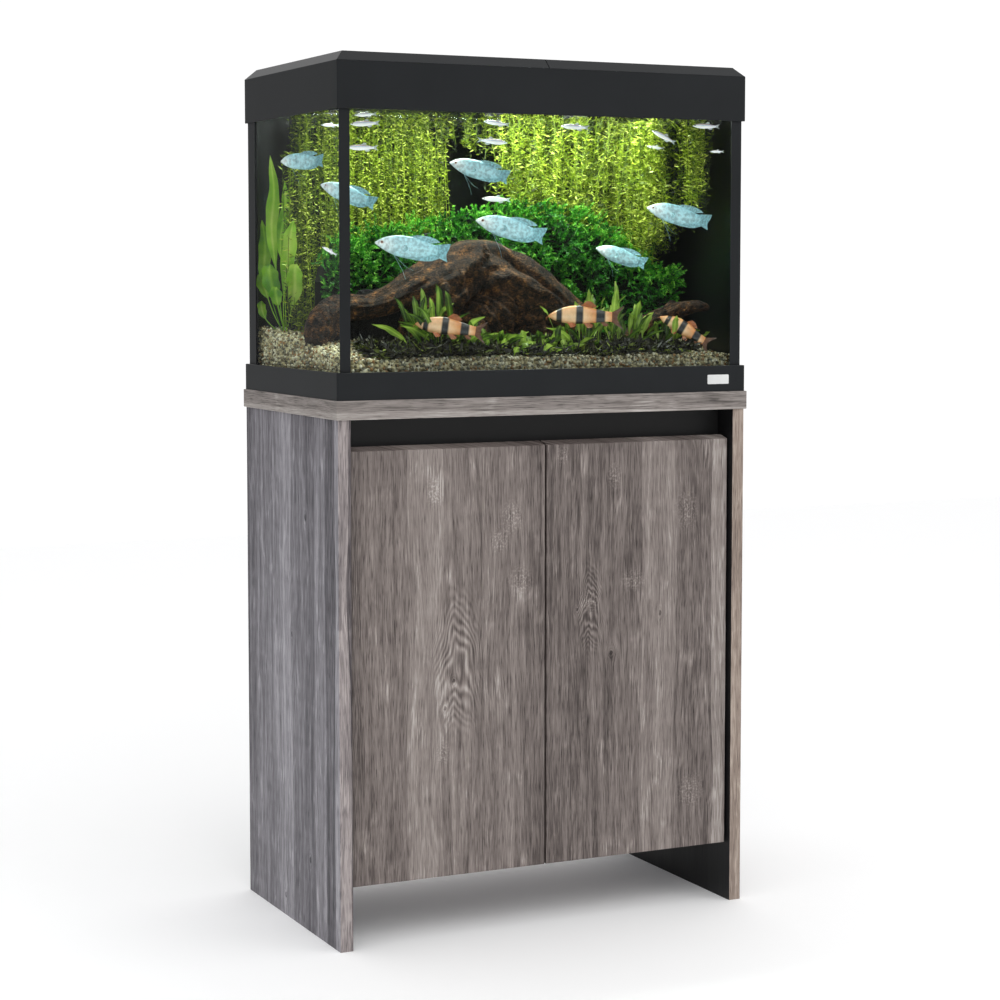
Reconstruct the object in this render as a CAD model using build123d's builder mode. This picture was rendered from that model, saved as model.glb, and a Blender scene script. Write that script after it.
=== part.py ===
from build123d import *
import os
from math import cos, radians, sin

os.makedirs("parts", exist_ok=True)

# An aquarium on a two-door cabinet. Millimetres. +Z is up, the front faces -Y, and the origin is on the
# floor at the centre of the footprint.

# Cabinet
CABINET_WIDTH = 610
CABINET_DEPTH = 350
BOARD = 18
SIDE_HEIGHT = 698
TOP_BOARD = 25
TOP_OVERHANG = 3
EDGE_ROUND = 0.8
BOTTOM_BOARD_Z = 82
BOTTOM_BOARD_FRONT = -139
BACK_PANEL = 5
BACK_PANEL_SETBACK = 5
RAIL = 16
RAIL_HEIGHT = 60
FRONT_RAIL_SETBACK = 40
SHELF = 16
SHELF_Z = 386
SHELF_FRONT = -115
SHELF_BACK = 150
SHELF_PLAY = 1
PORT_SIZE = (130, 60)
PORT_Z = 550
PORT_ROUND = 10

# Doors
DOOR_SETBACK = 10
DOOR_SIDE_GAP = 2.5
DOOR_MIDDLE_GAP = 3
DOOR_FRONT_TOP = 656
DOOR_BACK_TOP = 661

# Door hinges: a cup in the door, turning on a pin in the eye of a cranked arm
HINGE_HEIGHTS = (172, 566)
PIVOT_FROM_EDGE = 13.5
PIVOT_FROM_FRONT = 7.5
CUP_FROM_EDGE = 22.5
MORTISE_RADIUS = 17.5
MORTISE_DEPTH = 15
CUP_RADIUS = 17.4
CUP_WALL = 1
CUP_FLOOR = 0.8
CUP_FLANGE = 1.2
FLANGE_RADIUS = 20
DOWEL_RADIUS = 4
DOWEL_LENGTH = 9
DOWEL_SPACING = 48
DOWEL_OFFSET = 9.5
SLOT_HEIGHT = 12
ARM_HEIGHT = 10
ARM_THICK = 3
ARM_LEAN = 20
CRANK_Y = -138
ARM_BACK_Y = -84
EYE_RADIUS = 2.75
PIN_RADIUS = 1.5
RUNNING_PLAY = 0.05
PIN_HALF_LENGTH = 13.8
PLATE = (2.5, 56, 36)
PLATE_CENTRE_Y = -106
SCREW_SPACING = 26
SCREW_RADIUS = 1.7
SCREW_LENGTH = 12
SCREW_HEAD = (3.6, 1.8)
DRIVE_SLOT = (1.2, 0.8)

# Cabinet fittings
SHELF_PIN_RADIUS = 2.5
SHELF_PIN_Y = (-95, 125)
SHELF_PIN_LENGTH = 16
CAM_RADIUS = 7.5
CAM_DEPTH = 12.5
CAM_FROM_EDGE = 34
CAM_Y = (-90, 105)
BOLT_RADIUS = 3.5
BOLT_GRIP = 10
FIT = 0.1
BUMPER_RADIUS = 4
BUMPER_X = 60
CATCH = (40, 25, 14)
STRIKE = (30, 1, 12)
MAGNET_X = 32
TOUCH_GAP = 0.4

# Tank
BASE_FRAME = (612, 352, 36)
BASE_WALL = 4.5
BASE_LEDGE_Z = 10
BASE_LEDGE = 4
BASE_OPENING = (560, 300)
BASE_ROUND = 3
TANK_LENGTH = 600
TANK_WIDTH = 340
GLASS = 6
GLASS_TOP = 1125
BEAD = 4
BADGE = (34, 1.2, 13)
BADGE_X = 262
BADGE_Z = 740
TRIM = 1.2
FRONT_TRIM_WIDTHS = (14.5, 16)
REAR_TRIM_WIDTH = 27
FILM = 0.6
FILM_MARGIN = 2
RIM = (602, 342, 3)
RIM_LIP = (587.6, 327.6, 10)
RIM_LIP_WALL = 3
RIM_OPENING = (RIM_LIP[0] - 2 * RIM_LIP_WALL, RIM_LIP[1] - 2 * RIM_LIP_WALL)

# Planting: gravel that rises to the back, with wood and plants standing in it
GRAVEL_FRONT = 772
GRAVEL_BACK = 812

# Filter and heater
FILTER = (52, 44, 160)
FILTER_CENTRE = (256, 134)
FILTER_Z = 850
FILTER_WALL = 2
FILTER_ROUND = 8
FILTER_HEAD = 40
FILTER_SLOTS = 7
NOZZLE_RADIUS = 9
NOZZLE_HEIGHT = 12
SPOUT = (5, 26)
SUCKER_RADIUS = 12
HEATER_CENTRE = (196, 138)
HEATER_RADIUS = 10
HEATER_Z = 840
HEATER_LENGTH = 180
HEATER_HEAD = (12, 36)
HEATER_CLIP_Z = (880, 985)
DIAL_RADIUS = 10
DIAL_HEIGHT = 9
CLIP_HEIGHT = 8

# Hood
HOOD = (608, 348)
SKIRT_Z = 1097
SKIRT_HEIGHT = 61
SKIRT_WALL = 2
BEVEL = 13
HOOD_WALL = 3
HOOD_LEDGE_INNER = (580, 320)
HOOD_LEDGE = 3
LID_GAP = 0.3
FLAP_HINGE_Y = 60
FLAP_KNUCKLE = 3.5
FLAP_SEAM = 1.2
FLAP_EDGE_GAP = 0.5
DECK_GAP = 1.5
FLAP_PIN_RADIUS = 1.5
LUG = 7
LUG_CLEARANCE = 5
FLAP_LEDGE = 10
RIB = (2, 4)
NOTCH = (46, 44)
NOTCH_DEPTH = 17
NOTCH_X = 210

# Lamp
LAMP_Y = -10
LAMP_HALF_LENGTH = 268
LAMP_WIDTH = 44
LAMP_HEIGHT = 16
LAMP_Z = 1136
LAMP_WALL = 1.6
LENS = 1.6
LED_BOARD = (524, 28, 1.6)
LED = (3, 3, 0.8)
LED_COUNT = 26
LED_PITCH = 20
BRACKET = (26, 44, 2.5)

# Places that follow from the sizes above
INNER_X = CABINET_WIDTH / 2 - BOARD
FRONT_Y = -CABINET_DEPTH / 2
BACK_Y = CABINET_DEPTH / 2
DOOR_FRONT = FRONT_Y + DOOR_SETBACK
DOOR_BACK = DOOR_FRONT + BOARD
DOOR_OUTER_X = INNER_X - DOOR_SIDE_GAP
DOOR_INNER_X = DOOR_MIDDLE_GAP / 2
PIVOT_X = DOOR_OUTER_X - PIVOT_FROM_EDGE
PIVOT_Y = DOOR_FRONT + PIVOT_FROM_FRONT
CUP_X = DOOR_OUTER_X - CUP_FROM_EDGE
DOWEL_X = CUP_X - DOWEL_OFFSET
PANEL_BACK_Y = BACK_Y - BACK_PANEL_SETBACK
BOARD_BACK_Y = PANEL_BACK_Y - BACK_PANEL
RAIL_Z = SIDE_HEIGHT - RAIL_HEIGHT
CAM_Z = SIDE_HEIGHT - CAM_FROM_EDGE
CAM_X = INNER_X - CAM_FROM_EDGE
SHELF_PIN_Z = SHELF_Z - SHELF_PIN_RADIUS
BASE_Z = SIDE_HEIGHT + TOP_BOARD
GLASS_Z = BASE_Z + BASE_LEDGE_Z + BASE_LEDGE
FLOOR_Z = GLASS_Z + GLASS
INNER_LENGTH = TANK_LENGTH - 2 * GLASS
INNER_WIDTH = TANK_WIDTH - 2 * GLASS
RIM_Z = GLASS_TOP
LEDGE_Z = RIM_Z + RIM[2] + LID_GAP
SKIRT_TOP = SKIRT_Z + SKIRT_HEIGHT
HOOD_TOP = SKIRT_TOP + BEVEL
FLAP_UNDER = HOOD_TOP - HOOD_WALL
TOP_X = HOOD[0] / 2 - BEVEL
TOP_Y = HOOD[1] / 2 - BEVEL
FLAP_HINGE_Z = HOOD_TOP - FLAP_KNUCKLE
DECK_Y = FLAP_HINGE_Y + FLAP_KNUCKLE + DECK_GAP
FILTER_TOP = FILTER_Z + FILTER[2]
NOZZLE_Z = FILTER_TOP + FILTER_HEAD + LID_GAP
HEATER_TOP = HEATER_Z + HEATER_LENGTH
DIAL_Z = HEATER_TOP + HEATER_HEAD[1] + LID_GAP
LAMP_TOP = LAMP_Z + LAMP_HEIGHT

SIDES = (("left", -1), ("right", 1))


def save(piece, name):
    """Label a finished piece and write it to its own file."""
    piece.part.label = name
    export_step(piece.part, f"parts/{name}.step")


def board(low, high):
    """A plain board between two corners, given as (x, y, z)."""
    with BuildPart() as piece:
        with BuildSketch(Plane.XY.offset(low[2])):
            with Locations(((low[0] + high[0]) / 2, (low[1] + high[1]) / 2)):
                Rectangle(high[0] - low[0], high[1] - low[1])
        extrude(amount=high[2] - low[2])
    return piece


def sideways(x):
    """The plane across the cabinet at x, with +Y to its right and +Z up. It extrudes towards +X."""
    return Plane.YZ.offset(x)


def frontal(y):
    """The plane along the cabinet at y, with +X to its right and +Z up. It extrudes towards -Y."""
    return Plane.XZ.offset(-y)


# Cabinet boards

for side, sign in SIDES:
    with BuildPart() as side_panel:
        with BuildSketch():
            with Locations((sign * (INNER_X + BOARD / 2), 0)):
                Rectangle(BOARD, CABINET_DEPTH)
        extrude(amount=SIDE_HEIGHT)
        fillet(side_panel.edges().filter_by(Axis.Z), EDGE_ROUND)
        # Blind holes in the inner face for the hinge screws, shelf pins, bolts and cams
        with BuildSketch(sideways(sign * INNER_X)):
            for height in HINGE_HEIGHTS:
                with Locations((PLATE_CENTRE_Y, height)):
                    with GridLocations(0, SCREW_SPACING, 1, 2):
                        Circle(SCREW_RADIUS + FIT)
        extrude(amount=sign * SCREW_LENGTH, mode=Mode.SUBTRACT)
        with BuildSketch(sideways(sign * INNER_X)):
            with Locations(*[(y, SHELF_PIN_Z) for y in SHELF_PIN_Y]):
                Circle(SHELF_PIN_RADIUS + RUNNING_PLAY)
        extrude(amount=sign * SHELF_PIN_LENGTH / 2, mode=Mode.SUBTRACT)
        with BuildSketch(sideways(sign * INNER_X)):
            with Locations(*[(y, BOTTOM_BOARD_Z + BOARD / 2) for y in CAM_Y]):
                Circle(BOLT_RADIUS + FIT)
        extrude(amount=sign * BOLT_GRIP, mode=Mode.SUBTRACT)
        with BuildSketch(sideways(sign * INNER_X)):
            with Locations(*[(y, CAM_Z) for y in CAM_Y]):
                Circle(CAM_RADIUS + FIT)
        extrude(amount=sign * CAM_DEPTH, mode=Mode.SUBTRACT)
        with BuildSketch(Plane.XY.offset(CAM_Z)):
            with Locations(*[(sign * (INNER_X + BOARD / 2), y) for y in CAM_Y]):
                Circle(BOLT_RADIUS + FIT)
        extrude(amount=CAM_FROM_EDGE, mode=Mode.SUBTRACT)
    save(side_panel, f"{side}_side_panel")

with BuildPart() as top_board:
    with BuildSketch(Plane.XY.offset(SIDE_HEIGHT)):
        Rectangle(CABINET_WIDTH + 2 * TOP_OVERHANG, CABINET_DEPTH + 2 * TOP_OVERHANG)
    extrude(amount=TOP_BOARD)
    fillet(top_board.edges(), EDGE_ROUND)
    with BuildSketch(Plane.XY.offset(SIDE_HEIGHT)):
        for side, sign in SIDES:
            with Locations(*[(sign * (INNER_X + BOARD / 2), y) for y in CAM_Y]):
                Circle(BOLT_RADIUS + FIT)
    extrude(amount=BOLT_GRIP, mode=Mode.SUBTRACT)
save(top_board, "top_board")

with BuildPart() as bottom_board:
    with BuildSketch(Plane.XY.offset(BOTTOM_BOARD_Z)):
        with Locations((0, (BOTTOM_BOARD_FRONT + BOARD_BACK_Y) / 2)):
            Rectangle(2 * INNER_X, BOARD_BACK_Y - BOTTOM_BOARD_FRONT)
    extrude(amount=BOARD)
    with BuildSketch(Plane.XY.offset(BOTTOM_BOARD_Z)):
        for side, sign in SIDES:
            with Locations(*[(sign * CAM_X, y) for y in CAM_Y]):
                Circle(CAM_RADIUS + FIT)
    extrude(amount=CAM_DEPTH, mode=Mode.SUBTRACT)
    for side, sign in SIDES:
        with BuildSketch(sideways(sign * INNER_X)):
            with Locations(*[(y, BOTTOM_BOARD_Z + BOARD / 2) for y in CAM_Y]):
                Circle(BOLT_RADIUS + FIT)
        extrude(amount=-sign * CAM_FROM_EDGE, mode=Mode.SUBTRACT)
save(bottom_board, "bottom_board")

with BuildPart() as back_panel:
    with BuildSketch(frontal(BOARD_BACK_Y)):
        with Locations((0, (BOTTOM_BOARD_Z + SIDE_HEIGHT) / 2)):
            Rectangle(2 * INNER_X, SIDE_HEIGHT - BOTTOM_BOARD_Z)
        with Locations((0, PORT_Z)):
            RectangleRounded(*PORT_SIZE, PORT_ROUND, mode=Mode.SUBTRACT)
    extrude(amount=-BACK_PANEL)
save(back_panel, "back_panel")

# The grommet is a sleeve through the cable port with a flange behind the panel
with BuildPart() as cable_grommet:
    with BuildSketch(frontal(BOARD_BACK_Y)):
        with Locations((0, PORT_Z)):
            RectangleRounded(PORT_SIZE[0] - 2 * FIT, PORT_SIZE[1] - 2 * FIT, PORT_ROUND - FIT)
    extrude(amount=-BACK_PANEL)
    with BuildSketch(frontal(PANEL_BACK_Y)):
        with Locations((0, PORT_Z)):
            RectangleRounded(PORT_SIZE[0] + 12, PORT_SIZE[1] + 12, PORT_ROUND + 6)
    extrude(amount=-2)
    with BuildSketch(frontal(BOARD_BACK_Y)):
        with Locations((0, PORT_Z)):
            RectangleRounded(PORT_SIZE[0] - 5, PORT_SIZE[1] - 5, PORT_ROUND - 2)
    extrude(amount=-BACK_PANEL - 2, mode=Mode.SUBTRACT)
save(cable_grommet, "cable_grommet")

front_rail_y = FRONT_Y + FRONT_RAIL_SETBACK
front_rail = board((-INNER_X, front_rail_y, RAIL_Z), (INNER_X, front_rail_y + RAIL, SIDE_HEIGHT))
save(front_rail, "front_rail")

rear_rail = board((-INNER_X, BOARD_BACK_Y - RAIL, RAIL_Z), (INNER_X, BOARD_BACK_Y, SIDE_HEIGHT))
save(rear_rail, "rear_rail")

with BuildPart() as inner_shelf:
    with BuildSketch(Plane.XY.offset(SHELF_Z)):
        with Locations((0, (SHELF_FRONT + SHELF_BACK) / 2)):
            Rectangle(2 * (INNER_X - SHELF_PLAY), SHELF_BACK - SHELF_FRONT)
    extrude(amount=SHELF)
    fillet(inner_shelf.edges().filter_by(Axis.X).group_by(Axis.Y)[0], EDGE_ROUND)
save(inner_shelf, "inner_shelf")

# Cabinet fittings

with BuildPart() as shelf_pins:
    for side, sign in SIDES:
        with BuildSketch(sideways(sign * (INNER_X - SHELF_PIN_LENGTH / 2))):
            with Locations(*[(y, SHELF_PIN_Z) for y in SHELF_PIN_Y]):
                Circle(SHELF_PIN_RADIUS)
        extrude(amount=sign * SHELF_PIN_LENGTH)
save(shelf_pins, "shelf_pins")

# Each cam is a disc flush with its board, with a screwdriver slot across it
with BuildPart() as cam_locks:
    for side, sign in SIDES:
        with BuildSketch(sideways(sign * INNER_X)):
            with Locations(*[(y, CAM_Z) for y in CAM_Y]):
                Circle(CAM_RADIUS)
        extrude(amount=sign * CAM_DEPTH)
        with BuildSketch(sideways(sign * INNER_X)):
            with Locations(*[(y, CAM_Z) for y in CAM_Y]):
                Rectangle(CAM_RADIUS * 1.3, DRIVE_SLOT[0])
        extrude(amount=sign * DRIVE_SLOT[1], mode=Mode.SUBTRACT)
    cam_places = [(sign * CAM_X, y) for side, sign in SIDES for y in CAM_Y]
    with BuildSketch(Plane.XY.offset(BOTTOM_BOARD_Z)):
        with Locations(*cam_places):
            Circle(CAM_RADIUS)
    extrude(amount=CAM_DEPTH)
    with BuildSketch(Plane.XY.offset(BOTTOM_BOARD_Z)):
        with Locations(*cam_places):
            Rectangle(CAM_RADIUS * 1.3, DRIVE_SLOT[0])
    extrude(amount=DRIVE_SLOT[1], mode=Mode.SUBTRACT)
save(cam_locks, "cam_locks")

bolt_length = CAM_FROM_EDGE - CAM_RADIUS - 2 * FIT + BOLT_GRIP
with BuildPart() as cam_bolts:
    for side, sign in SIDES:
        with BuildSketch(Plane.XY.offset(SIDE_HEIGHT + BOLT_GRIP)):
            with Locations(*[(sign * (INNER_X + BOARD / 2), y) for y in CAM_Y]):
                Circle(BOLT_RADIUS)
        extrude(amount=-bolt_length)
        with BuildSketch(sideways(sign * (INNER_X + BOLT_GRIP))):
            with Locations(*[(y, BOTTOM_BOARD_Z + BOARD / 2) for y in CAM_Y]):
                Circle(BOLT_RADIUS)
        extrude(amount=-sign * bolt_length)
save(cam_bolts, "cam_bolts")

with BuildPart() as door_bumpers:
    with BuildSketch(frontal(BOTTOM_BOARD_FRONT)):
        with Locations((-BUMPER_X, BOTTOM_BOARD_Z + BOARD / 2), (BUMPER_X, BOTTOM_BOARD_Z + BOARD / 2)):
            Circle(BUMPER_RADIUS)
    extrude(amount=BOTTOM_BOARD_FRONT - DOOR_BACK - TOUCH_GAP)
save(door_bumpers, "door_bumpers")

with BuildPart() as magnet_catches:
    with BuildSketch(Plane.XY.offset(RAIL_Z)):
        catch_y = DOOR_BACK + STRIKE[1] + TOUCH_GAP + CATCH[1] / 2
        with Locations((-MAGNET_X, catch_y), (MAGNET_X, catch_y)):
            Rectangle(CATCH[0], CATCH[1])
    extrude(amount=-CATCH[2])
    fillet(magnet_catches.edges().filter_by(Axis.Z), 2)
save(magnet_catches, "magnet_catches")

# Door hinges. The arm leaves the eye leaning away from the panel, then cranks back to the plate on it.

plate_face = INNER_X - PLATE[0]
arm_reach = CRANK_Y - PIVOT_Y
arm_elbow_x = PIVOT_X - arm_reach * sin(radians(ARM_LEAN)) / cos(radians(ARM_LEAN))
arm_back_x = plate_face - ARM_THICK / 2

with BuildPart() as hinge_plates:
    for side, sign in SIDES:
        for height in HINGE_HEIGHTS:
            with BuildSketch(sideways(sign * INNER_X)):
                with Locations((PLATE_CENTRE_Y, height)):
                    RectangleRounded(PLATE[1], PLATE[2], 4)
                    with GridLocations(0, SCREW_SPACING, 1, 2):
                        Circle(SCREW_RADIUS + FIT, mode=Mode.SUBTRACT)
            extrude(amount=-sign * PLATE[0])
save(hinge_plates, "hinge_plates")

with BuildPart() as hinge_arms:
    for side, sign in SIDES:
        for height in HINGE_HEIGHTS:
            with BuildSketch(Plane.XY.offset(height - ARM_HEIGHT / 2)):
                with BuildLine():
                    Polyline(
                        (sign * PIVOT_X, PIVOT_Y),
                        (sign * arm_elbow_x, CRANK_Y),
                        (sign * arm_back_x, CRANK_Y),
                        (sign * arm_back_x, ARM_BACK_Y),
                    )
                trace(line_width=ARM_THICK)
                with Locations((sign * PIVOT_X, PIVOT_Y)):
                    Circle(EYE_RADIUS)
                    Circle(PIN_RADIUS + RUNNING_PLAY, mode=Mode.SUBTRACT)
            extrude(amount=ARM_HEIGHT)
save(hinge_arms, "hinge_arms")

with BuildPart() as hinge_screws:
    for side, sign in SIDES:
        for height in HINGE_HEIGHTS:
            with BuildSketch(sideways(sign * plate_face)):
                with Locations((PLATE_CENTRE_Y, height)):
                    with GridLocations(0, SCREW_SPACING, 1, 2):
                        Circle(SCREW_RADIUS)
            extrude(amount=sign * SCREW_LENGTH)
            with BuildSketch(sideways(sign * plate_face)):
                with Locations((PLATE_CENTRE_Y, height)):
                    with GridLocations(0, SCREW_SPACING, 1, 2):
                        Circle(SCREW_HEAD[0])
            extrude(amount=-sign * SCREW_HEAD[1])
            with BuildSketch(sideways(sign * (plate_face - SCREW_HEAD[1]))):
                with Locations((PLATE_CENTRE_Y, height)):
                    with GridLocations(0, SCREW_SPACING, 1, 2):
                        Rectangle(2 * SCREW_HEAD[0] * 0.7, DRIVE_SLOT[0])
            extrude(amount=sign * DRIVE_SLOT[1], mode=Mode.SUBTRACT)
save(hinge_screws, "hinge_screws")

# Doors, each with the fittings that turn with it

for side, sign in SIDES:
    with BuildPart() as door:
        with BuildSketch(sideways(sign * DOOR_INNER_X)):
            with BuildLine():
                Polyline(
                    (DOOR_FRONT, BOTTOM_BOARD_Z),
                    (DOOR_BACK, BOTTOM_BOARD_Z),
                    (DOOR_BACK, DOOR_BACK_TOP),
                    (DOOR_FRONT, DOOR_FRONT_TOP),
                    close=True,
                )
            make_face()
        extrude(amount=sign * (DOOR_OUTER_X - DOOR_INNER_X))
        fillet(door.edges().group_by(Axis.Y)[0], EDGE_ROUND)
        with BuildSketch(frontal(DOOR_BACK)):
            for height in HINGE_HEIGHTS:
                with Locations((sign * CUP_X, height)):
                    Circle(MORTISE_RADIUS)
                with Locations((sign * (CUP_X + DOOR_OUTER_X + 1) / 2, height)):
                    Rectangle(DOOR_OUTER_X + 1 - CUP_X, SLOT_HEIGHT)
        extrude(amount=MORTISE_DEPTH, mode=Mode.SUBTRACT)
        with BuildSketch(frontal(DOOR_BACK)):
            for height in HINGE_HEIGHTS:
                with Locations((sign * DOWEL_X, height)):
                    with GridLocations(0, DOWEL_SPACING, 1, 2):
                        Circle(DOWEL_RADIUS + RUNNING_PLAY)
        extrude(amount=DOWEL_LENGTH, mode=Mode.SUBTRACT)
    save(door, f"{side}_door")

    # The cup is a round pan with a flange, two dowels and a slot for the arm towards the door's edge
    with BuildPart() as hinge_cups:
        for height in HINGE_HEIGHTS:
            with BuildSketch(frontal(DOOR_BACK)):
                with Locations((sign * CUP_X, height)):
                    Circle(CUP_RADIUS)
            extrude(amount=MORTISE_DEPTH)
            with BuildSketch(frontal(DOOR_BACK)):
                with Locations((sign * CUP_X, height)):
                    Circle(FLANGE_RADIUS)
                with Locations((sign * DOWEL_X, height)):
                    RectangleRounded(2.6 * DOWEL_RADIUS * 2, DOWEL_SPACING + 3 * DOWEL_RADIUS, DOWEL_RADIUS)
            extrude(amount=-CUP_FLANGE)
            with BuildSketch(frontal(DOOR_BACK)):
                with Locations((sign * DOWEL_X, height)):
                    with GridLocations(0, DOWEL_SPACING, 1, 2):
                        Circle(DOWEL_RADIUS)
            extrude(amount=DOWEL_LENGTH)
            with BuildSketch(frontal(DOOR_BACK + CUP_FLANGE)):
                with Locations((sign * CUP_X, height)):
                    Circle(CUP_RADIUS - CUP_WALL)
                with Locations((sign * (CUP_X + DOOR_OUTER_X + 1) / 2, height)):
                    Rectangle(DOOR_OUTER_X + 1 - CUP_X, SLOT_HEIGHT)
            extrude(amount=CUP_FLANGE + MORTISE_DEPTH - CUP_FLOOR, mode=Mode.SUBTRACT)
            with BuildSketch(Plane.XY.offset(height - PIN_HALF_LENGTH)):
                with Locations((sign * PIVOT_X, PIVOT_Y)):
                    Circle(PIN_RADIUS)
            extrude(amount=2 * PIN_HALF_LENGTH, mode=Mode.SUBTRACT)
    save(hinge_cups, f"{side}_hinge_cups")

    with BuildPart() as hinge_pins:
        for height in HINGE_HEIGHTS:
            with BuildSketch(Plane.XY.offset(height - PIN_HALF_LENGTH)):
                with Locations((sign * PIVOT_X, PIVOT_Y)):
                    Circle(PIN_RADIUS)
            extrude(amount=2 * PIN_HALF_LENGTH)
    save(hinge_pins, f"{side}_hinge_pins")

    strike_z = RAIL_Z - CATCH[2] / 2
    with BuildPart() as strike_plate:
        with BuildSketch(frontal(DOOR_BACK)):
            with Locations((sign * MAGNET_X, strike_z)):
                RectangleRounded(STRIKE[0], STRIKE[2], 2)
        extrude(amount=-STRIKE[1])
    save(strike_plate, f"{side}_strike_plate")

# Tank

with BuildPart() as base_frame:
    with BuildSketch(Plane.XY.offset(BASE_Z)):
        Rectangle(BASE_FRAME[0], BASE_FRAME[1])
    extrude(amount=BASE_FRAME[2])
    fillet(base_frame.edges().filter_by(Axis.Z), BASE_ROUND)
    fillet(base_frame.edges().group_by(Axis.Z)[-1], 1)
    with BuildSketch(Plane.XY.offset(BASE_Z)):
        Rectangle(BASE_FRAME[0] - 2 * BASE_WALL, BASE_FRAME[1] - 2 * BASE_WALL)
    extrude(amount=BASE_LEDGE_Z, mode=Mode.SUBTRACT)
    with BuildSketch(Plane.XY.offset(GLASS_Z)):
        Rectangle(BASE_FRAME[0] - 2 * BASE_WALL, BASE_FRAME[1] - 2 * BASE_WALL)
    extrude(amount=BASE_FRAME[2], mode=Mode.SUBTRACT)
    with BuildSketch(Plane.XY.offset(BASE_Z)):
        Rectangle(*BASE_OPENING)
    extrude(amount=BASE_FRAME[2], mode=Mode.SUBTRACT)
save(base_frame, "base_frame")

with BuildPart() as badge:
    with BuildSketch(frontal(-BASE_FRAME[1] / 2)):
        with Locations((BADGE_X, BADGE_Z)):
            RectangleRounded(BADGE[0], BADGE[2], 1.5)
    extrude(amount=BADGE[1])
    fillet(badge.edges().group_by(Axis.Y)[0], 0.4)
save(badge, "badge")

bottom_glass = board(
    (-INNER_LENGTH / 2, -INNER_WIDTH / 2, GLASS_Z),
    (INNER_LENGTH / 2, INNER_WIDTH / 2, FLOOR_Z),
)
save(bottom_glass, "bottom_glass")

front_glass = board(
    (-TANK_LENGTH / 2, -TANK_WIDTH / 2, GLASS_Z),
    (TANK_LENGTH / 2, -INNER_WIDTH / 2, GLASS_TOP),
)
save(front_glass, "front_glass")

back_glass = board(
    (-TANK_LENGTH / 2, INNER_WIDTH / 2, GLASS_Z),
    (TANK_LENGTH / 2, TANK_WIDTH / 2, GLASS_TOP),
)
save(back_glass, "back_glass")

left_glass = board(
    (-TANK_LENGTH / 2, -INNER_WIDTH / 2, GLASS_Z),
    (-INNER_LENGTH / 2, INNER_WIDTH / 2, GLASS_TOP),
)
save(left_glass, "left_glass")

right_glass = board(
    (INNER_LENGTH / 2, -INNER_WIDTH / 2, GLASS_Z),
    (TANK_LENGTH / 2, INNER_WIDTH / 2, GLASS_TOP),
)
save(right_glass, "right_glass")

# A sloping bead of silicone in the four upright corners and round the floor
with BuildPart() as silicone_seams:
    with BuildSketch(Plane.XY.offset(FLOOR_Z)):
        Rectangle(INNER_LENGTH, INNER_WIDTH)
        Rectangle(INNER_LENGTH - 2 * BEAD, INNER_WIDTH - 2 * BEAD, mode=Mode.SUBTRACT)
    extrude(amount=BEAD)
    with BuildSketch(Plane.XY.offset(FLOOR_Z)):
        for side, sign in SIDES:
            for end in (-1, 1):
                corner_x = sign * INNER_LENGTH / 2
                corner_y = end * INNER_WIDTH / 2
                with BuildLine():
                    Polyline(
                        (corner_x, corner_y),
                        (corner_x - sign * BEAD, corner_y),
                        (corner_x, corner_y - end * BEAD),
                        close=True,
                    )
                make_face()
    extrude(amount=GLASS_TOP - RIM_LIP[2] - FLOOR_Z)
save(silicone_seams, "silicone_seams")

# Plastic strips that cover the glued corners
trim_height = GLASS_TOP - 1 - GLASS_Z
with BuildPart() as corner_trims:
    with BuildSketch(Plane.XY.offset(GLASS_Z)):
        for (side, sign), width in zip(SIDES, FRONT_TRIM_WIDTHS):
            with Locations((sign * (TANK_LENGTH - width) / 2, -(TANK_WIDTH + TRIM) / 2)):
                Rectangle(width, TRIM)
            with Locations((sign * (TANK_LENGTH + TRIM) / 2, (TANK_WIDTH - REAR_TRIM_WIDTH) / 2)):
                Rectangle(TRIM, REAR_TRIM_WIDTH)
    extrude(amount=trim_height)
save(corner_trims, "corner_trims")

# Black film stuck to the outside of the back and right panes
with BuildPart() as background_film:
    with BuildSketch(Plane.XY.offset(GLASS_Z + FILM_MARGIN)):
        with Locations((0, (TANK_WIDTH + FILM) / 2)):
            Rectangle(TANK_LENGTH - 2 * FILM_MARGIN, FILM)
        with Locations(((TANK_LENGTH + FILM) / 2, -REAR_TRIM_WIDTH / 2)):
            Rectangle(FILM, TANK_WIDTH - REAR_TRIM_WIDTH - 2 * FILM_MARGIN)
    extrude(amount=GLASS_TOP - GLASS_Z - 2 * FILM_MARGIN)
save(background_film, "background_film")

with BuildPart() as tank_rim:
    with BuildSketch(Plane.XY.offset(RIM_Z)):
        Rectangle(RIM[0], RIM[1])
        Rectangle(*RIM_OPENING, mode=Mode.SUBTRACT)
    extrude(amount=RIM[2])
    with BuildSketch(Plane.XY.offset(RIM_Z)):
        Rectangle(RIM_LIP[0], RIM_LIP[1])
        Rectangle(*RIM_OPENING, mode=Mode.SUBTRACT)
    extrude(amount=-RIM_LIP[2] + FIT)
save(tank_rim, "tank_rim")

# Gravel, wood and plants, as the space that each one fills

gravel_half_length = INNER_LENGTH / 2 - BEAD
gravel_half_width = INNER_WIDTH / 2 - BEAD
with BuildPart() as gravel_bed:
    with BuildSketch(sideways(-gravel_half_length)):
        with BuildLine():
            Polyline(
                (-gravel_half_width, FLOOR_Z),
                (gravel_half_width, FLOOR_Z),
                (gravel_half_width, GRAVEL_BACK),
                (-gravel_half_width, GRAVEL_FRONT),
                close=True,
            )
        make_face()
    extrude(amount=2 * gravel_half_length)
save(gravel_bed, "gravel_bed")


def standing_solid(outline, front, back):
    """A solid with an outline of (x, z) points, between two depths."""
    with BuildPart() as piece:
        with BuildSketch(frontal(back)):
            with BuildLine():
                Polyline(*outline, close=True)
            make_face()
        extrude(amount=back - front)
    return piece


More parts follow.
